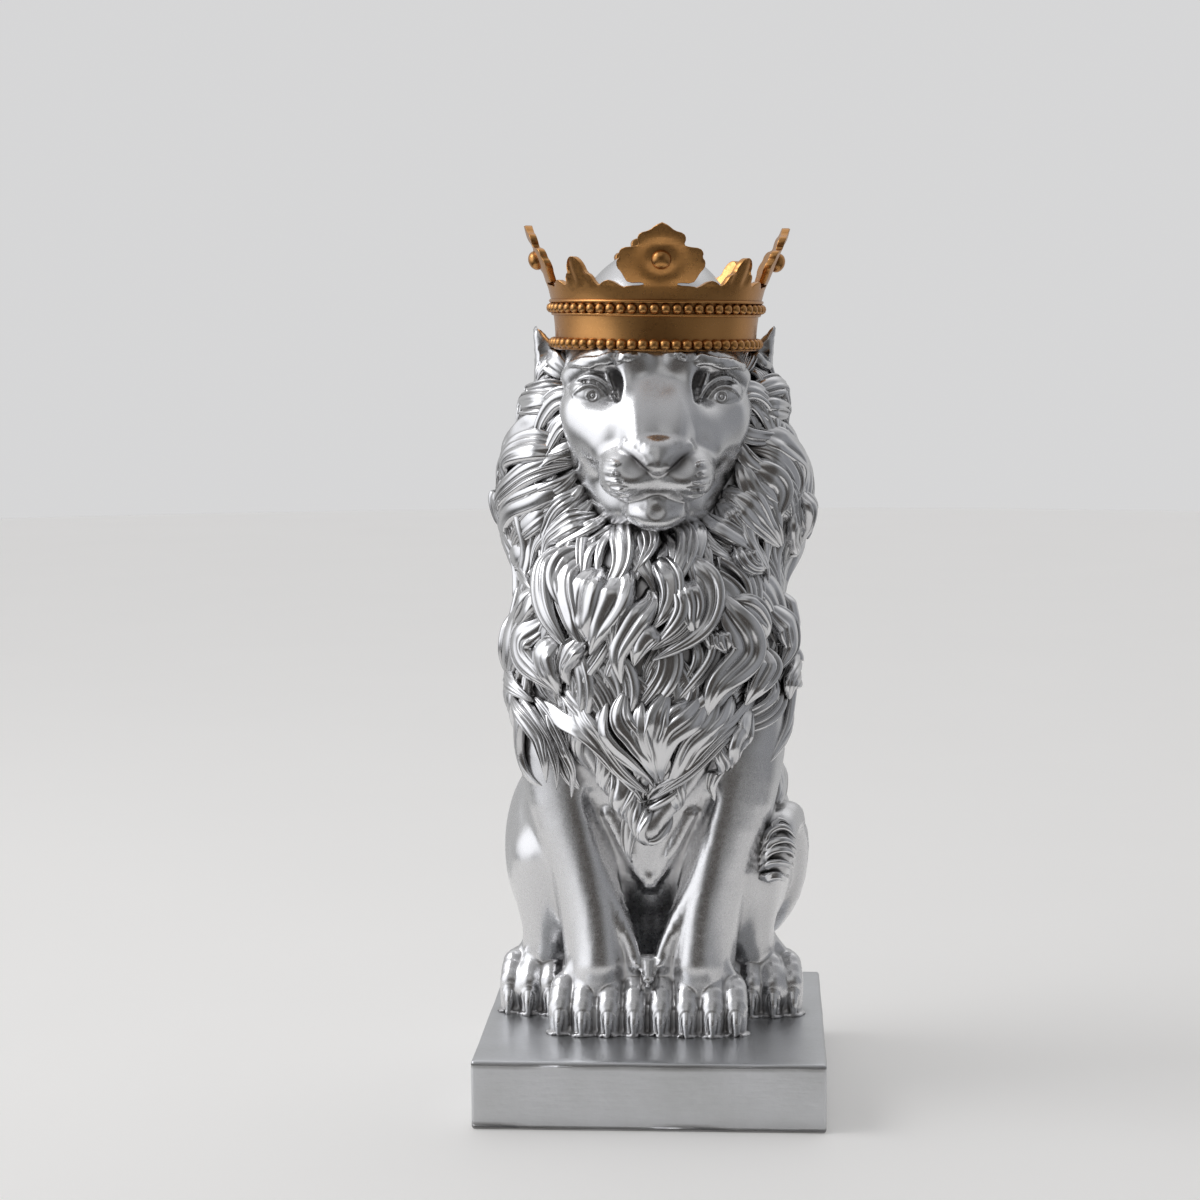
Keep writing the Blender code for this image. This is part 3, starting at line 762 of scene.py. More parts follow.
@dataclass
class Head:
    """Skull, brow, eyes, bridge, nose, muzzle, mouth, chin and ears."""

    pose: Pose = POSE
    dome_radius: float = 36.8
    dome_height: float = 47.0
    voxel: float = 1.7
    face_half_width: float = 37.5
    face_low: float = 233.0
    face_high: float = 306.0
    face_back: float = -9.0
    feature_back: float = -12.0
    forehead: tuple = ((0, -4, 291), (36.5, 24.5, 22))
    brow: tuple = (
        (8.0, -24.0, 302.0, 6.5), (20, -22.5, 301.6, 5.8), (28, -18.5, 299.0, 5.2), (33.5, -13.0, 294.5, 4.6),
    )
    pad: tuple = ((10.0, -42.6, 256.6), (11.2, 11.4, 9.0))
    outer_pad: tuple = ((14.2, -38.5, 257.5), (8.6, 10.2, 9.6))
    whiskers: tuple = ((14.2, 20.2, 261.8), (13.4, 20.6, 258.2), (12.8, 20.0, 254.8), (11.6, 17.8, 251.6))
    eye_zone: tuple = (12.0, 35.5, 274.0, 300.0)
    mouth_zone: tuple = (0.0, 21.5, 234.0, 272.5)

    def masses(self) -> list[Mass]:
        """All the head's masses, the broad ones first."""
        features = self.muzzle_masses() + self.nose_masses() + self.eye_masses()
        return self.broad_masses() + self.hair_masses() + features

    def broad_masses(self) -> list[Mass]:
        """Skull, forehead, cheeks, muzzle block, jaw, bridge and brow.

        Returns:
            The masses.
        """
        head = self.pose.head()
        masses: list[Mass] = [
            Ball((0, 10, 300), (self.dome_radius, self.dome_radius, self.dome_height), 3, head),
            Ball(*self.forehead, 8, head),
            Ball((0, -7, 265), (33.5, 22.5, 28), 10, head),
            Ball((0, -36, 258), (19, 14, 12), 8, head),
            Ball((0, -14, 244), (23, 20, 14), 8, head),
        ]
        for side in Side:
            s = side.value
            masses += [
                Ball((s * 6.0, -30.4, 282.5), (9.4, 9.4, 29), 7, head, 0, False, -43),
                Limb(mirrored(side, self.brow), 6, head),
                Limb([(s * 12.0, -26.6, 300.0, 3.0), (s * 12.6, -31.0, 289.0, 3.0),
                      (s * 13.2, -34.6, 277.0, 3.4)],
                     4, head),
                Ball((s * 24.0, -19.4, 280.0), (11.0, 7.4, 8.0), 5, head, s * -24),
                Ball((s * 24.0, -19.0, 273.0), (11.5, 9, 12), 10, head, s * 20),
                Ball((s * 16.5, -29.5, 270.0), (8.5, 8.5, 12), 9, head, s * 14),
                Limb([(s * 33.0, -14.5, 282, 4.0), (s * 27, -22.5, 276.0, 4.4),
                      (s * 20.0, -30.5, 268.5, 4.6)],
                     9, head),
            ]
        return masses

    def reach(self, masses: Sequence[Mass], x: float, z: float) -> float:
        """How far forward some masses reach at a place of the face.

        Args:
            masses: The masses, in the head's own frame.
            x: The place across.
            z: The height.

        Returns:
            The place on Y.
        """
        rows = np.array([(x, y, z) for y in np.arange(-66.0, -10.0, 0.1)])
        gaps = np.min([mass.distance(rows) for mass in masses], axis=0)
        return float(rows[np.argmax(gaps <= 0.0) if (gaps <= 0.0).any() else np.argmin(gaps), 1])

    def laid(
        self, masses: Sequence[Mass], side: Side, trace: Sequence[Point], blend: float, out: float = 0.0,
    ) -> Limb:
        """A thin ridge laid on masses along a course of x, z and radius, given on the lion's left."""
        rows = [(side.value * x, self.reach(masses, x, z) - out, z, radius) for x, z, radius in trace]
        return Limb(rows, blend, self.pose.head())

    def hair_masses(self) -> list[Mass]:
        """The fine hair that runs outwards over the forehead, under the crown.

        Returns:
            The masses.
        """
        skull: list[Mass] = [
            Ball(*self.forehead, 1), Limb(self.brow, 1),
            Ball((0, 10, 300), (self.dome_radius, self.dome_radius, self.dome_height), 1),
        ]
        masses: list[Mass] = []
        for side in Side:
            for row in range(5):
                start, phase = 3.0 + 4.2 * row, 1.3 * row + (0.8 if side is Side.LEFT else 0.0)
                trace = []
                for step in range(9):
                    x = start + (35.5 - start) * step / 8
                    drop = 0.0042 * (x - start) ** 2 + 0.55 * math.sin(phase + 0.55 * x)
                    trace.append((x, 304.4 - 1.2 * row - drop, 0.5 + 0.4 * math.sin(math.pi * step / 8)))
                masses.append(self.laid(skull, side, trace, 0.9, 1.3))
        return masses

    def muzzle_masses(self) -> list[Mass]:
        """Lip pads with their whisker ridges, mouth and chin.

        Returns:
            The masses.
        """
        head = self.pose.head()
        pads: list[Mass] = [Ball(*self.pad, 1), Ball(*self.outer_pad, 1)]
        masses: list[Mass] = [
            Ball((0, -36.4, 241.4), (12.8, 13.0, 6.4), 3.5, head),
            Ball((0, -41.0, 238.8), (7.0, 8.4, 4.0), 3.0, head),
            Limb([(-9.0, -41.8, 245.0, 1.8), (0, -45.8, 246.0, 2.0), (9.0, -41.8, 245.0, 1.8)], 3.0, head),
        ]
        for side in Side:
            inner, outer = mirrored(side, (self.pad[0], self.outer_pad[0]))
            masses += [Ball(inner, self.pad[1], 3.6, head), Ball(outer, self.outer_pad[1], 5, head)]
        masses += [
            Ball((0, -52.6, 248.8), (7.4, 4.6, 2.0), 1.8, head, 0, True),
            Ball((0, -52.4, 242.6), (3.6, 3.4, 2.2), 2.4, head, 0, True),
        ]
        for side in Side:
            s = side.value
            masses.append(Limb(
                [(0, -56.8, 253.4, 0.9), (s * 5.0, -55.2, 250.8, 1.2), (s * 9.6, -51.8, 249.0, 1.2),
                 (s * 14.2, -47.4, 248.6, 1.1), (s * 18.6, -41.5, 249.6, 0.9)], 1.8, head, True,
            ))
            for start_x, end_x, z in self.whiskers:
                middle = (start_x + end_x) / 2
                trace = ((start_x, z, 0.3), (middle, z - 0.3, 0.9), (end_x, z, 0.35))
                masses.append(self.laid(pads, side, trace, 1.4, 1.2))
            for step in range(3):
                x = s * (9.0 + 1.7 * step)
                masses.append(Limb(
                    [(x, -47.0 + 1.4 * step, 242.0, 0.3), (x + s * 0.5, -46.4 + 1.5 * step, 239.4, 0.5),
                     (x - s * 0.6, -45.0 + 1.5 * step, 237.0, 0.3)], 0.7, head, True,
                ))
        masses.append(Limb([(0, -56.6, 259.0, 1.0), (0, -56.2, 253.4, 0.8)], 2.2, head, True))
        return masses

    def nose_masses(self) -> list[Mass]:
        """The nose pad: a wedge that narrows to the lip, undercut by the nostrils.

        Returns:
            The masses.
        """
        head = self.pose.head()
        masses: list[Mass] = []
        for side in Side:
            s = side.value
            masses.append(Ball((s * 8.8, -61.8, 263.0), (8.4, 10.4, 6.4), 5.0, head, s * 36, True))
        masses += [
            Limb([(-11.4, -45.4, 268.0, 2.2), (-5.6, -48.6, 267.8, 3.2), (0, -49.8, 267.6, 3.8),
                  (5.6, -48.6, 267.8, 3.2), (11.4, -45.4, 268.0, 2.2)], 3.0, head),
            Ball((0, -50.8, 264.6), (7.4, 4.6, 5.0), 2.4, head),
            Ball((0, -53.0, 261.4), (3.8, 3.4, 3.6), 2.4, head),
        ]
        for side in Side:
            s = side.value
            masses += [
                Limb([(s * 12.4, -47.0, 268.4, 1.2), (s * 8.2, -51.0, 265.4, 1.3),
                      (s * 3.8, -54.4, 261.4, 1.3)],
                     2.0, head),
                Limb([(s * 12.8, -50.0, 269.4, 0.9), (s * 9.6, -52.6, 266.0, 0.6),
                      (s * 6.4, -54.6, 263.4, 0.4)],
                     1.0, head, True),
            ]
        return masses

    def eye_masses(self) -> list[Mass]:
        """Sockets, eyeballs with pupils, lids, folds and creases.

        Returns:
            The masses.
        """
        head = self.pose.head()
        ball, sizes, pupil = (25.0, -19.8, 286.2), (10.2, 8.4, 6.6), (25.8, 287.3)
        under: list[Mass] = [
            Ball(ball, sizes, 1, None, -27), Ball((24.0, -19.8, 280.0), (11.0, 7.4, 8.0), 1, None, -24),
        ]
        masses: list[Mass] = []
        for side in Side:
            s = side.value
            masses += [
                Ball((s * 24.4, -33.2, 292.6), (9.0, 7.6, 4.6), 2.4, head, s * -24, True),
                Ball((s * 18.4, -32.0, 293.2), (4.4, 7.0, 6.2), 1.6, head, s * 14, True),
                Ball((s * 16.2, -33.0, 290.4), (1.5, 5.0, 5.4), 1.6, head, s * 8, True),
                Ball((s * ball[0], *ball[1:]), sizes, 0.8, head, s * -27),
                Limb([(s * 34.6, -17.4, 290.2, 0.7), (s * 30.6, -23.4, 293.8, 0.9),
                      (s * 25.4, -26.4, 294.8, 1.0),
                      (s * 20.6, -28.2, 292.0, 0.9), (s * 17.4, -29.0, 287.2, 0.7)], 0.9, head),
                Limb([(s * 20.8, -25.6, 299.0, 0.5), (s * 19.8, -27.0, 294.0, 0.8),
                      (s * 18.0, -28.2, 289.6, 0.5)],
                     0.8, head),
                self.laid(under, side, (
                    (33.6, 287.2, 0.5), (31.0, 289.8, 0.9), (27.2, 291.2, 1.05), (23.4, 290.0, 1.05),
                    (20.6, 286.4, 1.0), (19.0, 282.8, 0.9), (17.6, 279.4, 0.6)), 0.5),
                self.laid(under, side, (
                    (33.4, 287.0, 0.5), (30.8, 284.2, 0.8), (26.8, 282.2, 0.9), (22.0, 280.8, 0.85),
                    (17.8, 279.2, 0.6)), 0.6),
                self.laid(under, side, (
                    (34.0, 284.2, 0.3), (30.2, 281.2, 0.65), (25.4, 279.2, 0.7), (19.6, 277.4, 0.4)), 0.8),
                self.laid(under, side, ((33.4, 281.4, 0.2), (28.8, 278.2, 0.5), (23.4, 276.2, 0.3)), 1.0),
            ]
            front = self.reach(under, *pupil)
            masses.append(Ball((s * pupil[0], front - 0.4, pupil[1]), (1.5, 1.5, 1.5), 0.4, head, 0, True))
            trace = [
                (pupil[0] + 2.1 * math.cos(a), pupil[1] + 2.1 * math.sin(a), 0.45)
                for a in (2 * math.pi * i / 14 for i in range(15))
            ]
            masses.append(self.laid(under, side, trace, 0.35))
            masses.append(Ball((s * pupil[0], front + 0.5, pupil[1]), (0.75, 0.75, 0.75), 0.2, head))
        return masses

    def ear_masses(self) -> list[Mass]:
        """The small pointed ears beside the crown.

        Returns:
            The masses.
        """
        head = self.pose.head()
        masses: list[Mass] = []
        for side in Side:
            s = side.value
            masses += [
                Limb([(s * 41.0, 17, 286, 9.0), (s * 43.4, 16, 300, 6.2),
                      (s * 49.6, 15, 314.6, 0.8)], 2, head),
                Ball((s * 44.6, 9.4, 302.0), (2.8, 4.6, 9.0), 1.0, head, s * 20, True),
            ]
        return masses

    def in_face(self, points: Array) -> Array:
        """Which points lie in the part of the face that shows.

        Args:
            points: The points.

        Returns:
            True for each that does.
        """
        local = in_frame(points, self.pose.head())
        level = (local[:, 2] > self.face_low) & (local[:, 2] < self.face_high)
        return level & (np.abs(local[:, 0]) < self.face_half_width) & (local[:, 1] < self.face_back)

    def in_features(self, points: Array) -> Array:
        """Which points lie round the eyes, or from the nose to the chin.

        Args:
            points: The points.

        Returns:
            True for each that does.
        """
        local = in_frame(points, self.pose.head())
        across, up = np.abs(local[:, 0]), local[:, 2]
        inside = np.zeros(len(points), bool)
        for near, far, low, high in (self.eye_zone, self.mouth_zone):
            inside |= (across >= near) & (across < far) & (up > low) & (up < high)
        return inside & (local[:, 1] < self.feature_back)

    def build(self, finish: LeafFinish) -> bpy.types.Object:
        """Makes the head.

        Args:
            finish: Its finish.

        Returns:
            The piece.
        """
        neck = Ball((0, 8, 262), (34, 26, 40), 10)
        clay = Clay([neck] + self.masses() + self.ear_masses())
        bm = clay.skin(self.voxel, (self.in_face, self.in_features))
        # Painted shade in the nostrils, kept as the least darkness of the head's points.
        painted_shade = self.nostril_painted_shade(in_frame(mesh_points(bm), self.pose.head()))
        set_points(bm, self.pose.lean(mesh_points(bm)))
        return finish_piece("lion_head", bm, finish.material(), "lion", painted_shade=painted_shade)

    def nostril_painted_shade(self, local: Array) -> Array:
        """How much painted shade lies in the nostrils, for the dark of their hollows.

        Args:
            local: The head's points in its own frame.

        Returns:
            One value for each point.
        """
        across, forward, up = np.abs(local[:, 0]), local[:, 1], local[:, 2]
        middle_x = 4.6 + 0.75 * (up - 258.0)
        spread = ((across - middle_x) / 4.4) ** 2 + ((up - 262.2) / 4.6) ** 2
        return 1.1 * np.exp(-(spread**1.3)) * (forward < -38.0)


# The body


@dataclass
class Body:
    """Trunk, bulk of the mane, legs, paws and tail."""

    pose: Pose = POSE
    voxel: float = 2.3
    front_toes: tuple = ((5.4, 0.0, 0.2), (15.9, 0.8, 0.5), (26.4, 0.6, 1.2), (35.8, -1.6, 2.4))
    hind_toes: tuple = ((33.5, 1.5, 0.0), (41.8, 2.5, 0.8), (50.8, 2.0, 1.6), (59.2, -1.0, 3.0))

    def trunk_masses(self) -> list[Mass]:
        """Chest, belly, rump, and the keel between the forelegs.

        Returns:
            The masses.
        """
        masses: list[Mass] = [
            Ball((0, 0, 170), (47, 36, 56), 10),
            Ball((0, 18, 120), (42, 40, 62), 14),
            Ball((0, 33, 80), (42, 36, 50), 14),
            Limb([(0, -2, 122, 21), (0, 6, 92, 17), (0, 12, 60, 13), (0, 14, 40, 13)], 6),
            Limb([(0, -20, 116, 5), (0, -13, 96, 3.5), (0, -6, 80, 3)], 5),
        ]
        for side in Side:
            edge = mirrored(side, ((26, -27, 148, 5), (13, -31, 129, 4.5), (0, -32.5, 112, 4)))
            masses.append(Limb(edge, 4))
        return masses

    def fold_masses(self) -> list[Mass]:
        """The folds of skin between the forelegs, with the hollows beside them.

        Returns:
            The masses.
        """
        masses: list[Mass] = []
        for side in Side:
            s = side.value
            masses += [
                Limb([(s * 24, -24, 124, 2.5), (s * 17, -23.5, 106, 3.4), (s * 11, -24.5, 88, 3.8),
                      (s * 5.5, -27, 73, 3.2), (s * 2, -30, 63, 2.0)], 3.0, None, True),
                Limb([(s * 22, -28, 131, 1.6), (s * 12, -30, 113, 2.0),
                      (s * 3, -29, 101, 1.8)], 2.5, None, True),
            ]
        for side in Side:
            s = side.value
            masses += [
                Limb([(s * 17, -20, 117, 2.4), (s * 10, -19.5, 103, 2.6), (s * 4, -17.5, 92, 2.4),
                      (0, -16.5, 85, 2.0)],
                     2.0),
                Limb([(s * 29, -19, 116, 2.4), (s * 24, -20.5, 102, 2.3), (s * 18, -22, 88, 2.2),
                      (s * 11.5, -25, 74, 2.1), (s * 6.5, -27.5, 63, 2.0), (s * 5, -28, 55, 2.0)], 3.0),
            ]
        return masses

    def mane_masses(self) -> list[Mass]:
        """The bulk of the mane, under its locks.

        Returns:
            The masses.
        """
        return [
            Ball((0, 20, 246), (61, 34.5, 54), 1),
            Ball((0, 20, 284), (49, 31.5, 27), 10),
            Ball((0, 0, 198), (51.5, 38.5, 43), 12),
            Ball((0, -10, 172), (38.5, 29.5, 45), 10),
            Limb([(0, -21, 168, 19), (0, -26, 146, 12), (0, -26.5, 131, 5)], 8),
            Ball((0, 24, 222), (46.5, 30.5, 65), 10),
        ]

    def leg_masses(self, side: Side) -> list[Mass]:
        """A foreleg with its shin and elbow, and the folded hind leg behind it.

        Args:
            side: The lion's left or right.

        Returns:
            The masses.
        """
        s = side.value
        slim = 3.5 if side is Side.LEFT else 0.0
        return [
            Limb([(s * 35, 0, 182, 20.5), (s * 37.5, -5, 152, 18), (s * 35.5, -8, 122, 15.8),
                  (s * 27.5, -13, 90, 12.6),
                  (s * 21.8, -16, 62, 12.8), (s * 20.8, -19, 46, 12.8)], 5),
            Limb([(s * 33, -16, 140, 8), (s * 27.0, -20.5, 104, 5.5), (s * 21.0, -24.0, 76, 5.5),
                  (s * 19.5, -26.0, 56, 6)], 8),
            Limb([(s * 33, -14, 138, 5), (s * 26, -17.5, 112, 4.2), (s * 18.5, -19.5, 92, 3.8),
                  (s * 11.5, -22, 76, 3.6), (s * 7.0, -24, 63, 3.4), (s * 6, -24, 50, 3.4)], 4.5),
            Limb([(s * 43, -2, 140, 8), (s * 36.5, -5, 104, 6.2), (s * 30, -8, 76, 6),
                  (s * 28, -10, 52, 6)], 8),
            Ball((s * (41 - slim), 26, 95), (22.5, 37, 40), 7),
            Limb([(s * (45 - slim), 0, 96, 13.0), (s * (43 - slim), 8, 62, 11.5), (s * 46, 18, 42, 11)], 6),
            Limb([(s * 43, 54, 38, 11), (s * 46, 30, 38, 11), (s * 50, 8, 38, 12)], 5),
            Limb([(s * 42, 57, 62, 5.5), (s * 44, 58, 48, 6.5), (s * 43, 56, 38, 8)], 5),
        ]

    def toe_masses(self, side: Side, toe: tuple, front: float, knuckle: float, width: float) -> list[Mass]:
        """One toe: up over two knuckles and down to the plinth, with its claw in a raised cuticle.

        Args:
            side: The lion's left or right.
            toe: The toe's distance from the middle, how far forward it stands, and how far it splays.
            front: Where the front of the row of toes is.
            knuckle: The height of the knuckles.
            width: Half the toe's width.

        Returns:
            The masses.
        """
        s = side.value
        x, forward, splay = s * toe[0], toe[1], s * toe[2]
        y = front - forward
        foot = self.pose.feet
        masses: list[Mass] = [
            Limb([(x * 0.86 - splay, y + 15.5, knuckle + 8.0, width * 0.62),
                  (x * 0.93 - splay, y + 15.0, knuckle + 2.0, width * 0.78),
                  (x - splay, y + 15.5, knuckle - 4.5, width * 0.95)], 1.6),
            Limb([(x - splay, y + 22, knuckle - 4.5, width * 1.02),
                  (x - splay * 0.4, y + 12.8, knuckle - width, width * 1.05),
                  (x, y + 7.2, knuckle - width - 6.5, width * 0.98),
                  (x, y + 5.8, foot + 2.5, width * 0.9)], 1.2),
            Ball((x - splay * 0.4, y + 12.2, knuckle - width + 1.0), (width * 0.92, 3.6, width * 0.95), 1.2),
            Ball((x, y + 5.6, knuckle - width - 6.0), (width * 0.9, 3.4, 4.6), 1.0),
            Ball((x, y + 6.0, foot - 0.2), (width * 1.18, 6.4, 1.5), 0.8),
        ]
        claw = [
            (x + splay * 0.1, y + 3.6, foot + 9.6, 2.2), (x + splay * 0.15, y + 1.6, foot + 5.2, 2.0),
            (x + splay * 0.2, y + 0.9, foot + 0.6, 1.1),
        ]
        cuticle = [
            (x + 2.9 * math.cos(a), y + 3.0 - 0.4 * math.sin(a), foot + 7.2 + 3.8 * math.sin(a), 0.75)
            for a in (math.radians(-35 + 250 * i / 8) for i in range(9))
        ]
        masses += [
            Ball((x, y - 0.6, foot + 5.0), (3.0, 3.4, 5.2), 0.8, None, 0, True),
            Limb(claw, 0.4),
            Limb(cuticle, 0.5, None, False, 1),
            Limb([(x - width, y + 6, foot, 0.9), (x - 2.6, y + 1.2, foot, 0.9), (x + 2.6, y + 1.2, foot, 0.9),
                  (x + width, y + 6, foot, 0.9)], 0.6),
        ]
        return masses

    def paw_masses(self, side: Side) -> list[Mass]:
        """The four toes of the forepaw and of the hind paw.

        Args:
            side: The lion's left or right.

        Returns:
            The masses.
        """
        masses: list[Mass] = []
        for toe in self.front_toes:
            masses += self.toe_masses(side, toe, -38.0, 49.5, 5.2)
        for toe in self.hind_toes:
            masses += self.toe_masses(side, toe, -4.5, 51.5, 4.7)
        return masses

    def web_masses(self) -> list[Mass]:
        """The small pointed web that hangs between the forepaws.

        Returns:
            The masses.
        """
        return [
            Limb([(0, -26.5, 56, 3.8), (0.2, -30.5, 50.5, 2.4)], 1.5),
            Limb([(-5.6, -27.5, 59.5, 0.9), (-3.4, -32, 53, 1.0), (0.2, -34, 48.5, 1.1), (3.8, -32, 53, 1.0),
                  (5.6, -27.5, 59.5, 0.9)], 1.0),
        ]

    def tail_masses(self) -> list[Mass]:
        """The tail leaves the rump, climbs the left haunch, and ends under its tuft.

        Returns:
            The masses.
        """
        return [
            Limb([(0, 66, 42, 7), (26, 66, 42, 6.5), (45, 55, 52, 6.2), (57, 38, 72, 6), (60, 22, 96, 6),
                  (57, 9, 110, 6.0)], 3.5),
            Limb([(57, 9, 110, 6.0), (54.5, -2, 108, 6.6), (52.5, -7, 101, 7), (51, -8, 92, 5.6)], 3),
        ]

    def clay(self) -> Clay:
        """The whole body's clay.

        Returns:
            The clay.
        """
        masses = self.trunk_masses() + self.mane_masses()
        for side in Side:
            masses += self.leg_masses(side)
        masses += self.fold_masses() + self.tail_masses()
        for side in Side:
            masses += self.paw_masses(side)
        masses += self.web_masses()
        masses.append(Seat(self.pose.crown(), 20.0, 49.0, 1.0))
        return Clay(masses)

    def in_paws(self, points: Array) -> Array:
        """Which points lie in the paws."""
        return (points[:, 2] < 58.0) & (points[:, 1] < 12.0)

    def in_toes(self, points: Array) -> Array:
        """Which points lie in the fronts of the toes.

        Args:
            points: The points.

        Returns:
            True for each that does.
        """
        wide = np.abs(points[:, 0]) > 27.0
        front = (points[:, 1] < -24.0) | (wide & (points[:, 1] < 8.0) & (points[:, 1] > -14.0))
        return (points[:, 2] < 53.0) & front

    def build(self, finish: LeafFinish) -> tuple[bpy.types.Object, BVHTree, Array]:
        """Makes the body.

        Args:
            finish: Its finish.

        Returns:
            The piece, a tree of its surface that the locks are laid on, and its points. Neither is leaned.
        """
        bm = self.clay().skin(self.voxel, (self.in_paws, self.in_toes))
        tree = BVHTree.FromBMesh(bm)
        points = mesh_points(bm)
        leaned = self.pose.lean(points)
        leaned[:, 2] = np.maximum(leaned[:, 2], self.pose.feet - 0.5)
        set_points(bm, leaned)
        piece = finish_piece("lion_body", bm, finish.material(), "lion")
        return piece, tree, points


# The mane


@dataclass
class HairFlow:
    """The way the hair lies: out from the face, then down, drawing in to the point on the chest."""

    face_centre: Point = (2.0, -20.0, 268.0)
    face_half_width: float = 38.5
    face_half_height: float = 37.0
    chest_tip: float = 122.0

    def direction(self, point: Vector) -> Vector:
        """The way the hair lies at a place.

        Args:
            point: The place.

        Returns:
            The direction, not yet laid onto the surface.
        """
        away = Vector((point.x - self.face_centre[0], 0.0, point.z - self.face_centre[2]))
        reach = away.length
        away.normalize()
        away.z = min(away.z, 0.25)
        at_front = 1.0 - smooth_step(5.0, 45.0, point.y)
        spread = at_front * (1.0 - smooth_step(30.0, 90.0, reach))
        gather = at_front * (1.0 - smooth_step(130.0, 200.0, point.z))
        inward = Vector((-point.x / 45.0, 0.0, 0.0))
        down = Vector((0.0, 0.0, -1.0)) * (0.55 + 0.4 * (1.0 - spread))
        return away * (1.15 * spread) + down + inward * (1.1 * gather)

    def covers(self, points: Array) -> Array:
        """Which points of the body the hair covers.

        Args:
            points: The points.

        Returns:
            True for each that it covers.
        """
        x, y, z = points.T
        low = np.where(y < 0, self.chest_tip + 20 + 0.72 * np.abs(x), 172.0)
        across = (x - self.face_centre[0]) / self.face_half_width
        up = (z - self.face_centre[2]) / self.face_half_height
        in_face = (across**2 + up**2 < 1.0) & (y < 5.0)
        high = np.where(np.abs(x) > 34.0, 291.0, np.where(y > 20.0, 307.0, 300.0))
        return (z > low) & (z < high) & ~in_face


@dataclass(frozen=True)
class LockShape:
    """The sizes of one kind of lock."""

    half_width: float
    thickness: float
    length: float
    groove: float
    hollow: float
    rim: float


class LockTemplate:
    """A ball whose rows and columns are laid along a path as a lock of hair with strands."""

    def __init__(self, across: int, under: int, along: int) -> None:
        """Makes the ball and numbers its points.

        Args:
            across: Columns over the lock's face.
            under: Columns under it.
            along: Rows from root to tip.
        """
        bm = bmesh.new()
        bmesh.ops.create_uvsphere(bm, u_segments=across + under, v_segments=along, radius=1.0)
        self.mesh = bpy.data.meshes.new("lock")
        bm.to_mesh(self.mesh)
        ball = mesh_points(bm)
        bm.free()
        self.across = across
        self.share = np.arccos(np.clip(-ball[:, 2], -1, 1)) / math.pi
        turn = np.mod(np.arctan2(ball[:, 1], ball[:, 0]) / (2 * math.pi), 1.0) * (across + under)
        self.column = np.mod(np.rint(turn).astype(int), across + under)
        self.on_face = self.column <= across
        linear = 1.0 - 2.0 * self.column / across
        round_face = np.cos(math.pi * self.column / across)
        below = (self.column - across) / max(under, 1)
        self.place = np.where(self.on_face, 0.65 * linear + 0.35 * round_face, -np.cos(math.pi * below))
        self.below = np.where(self.on_face, 0.0, np.sin(math.pi * below))


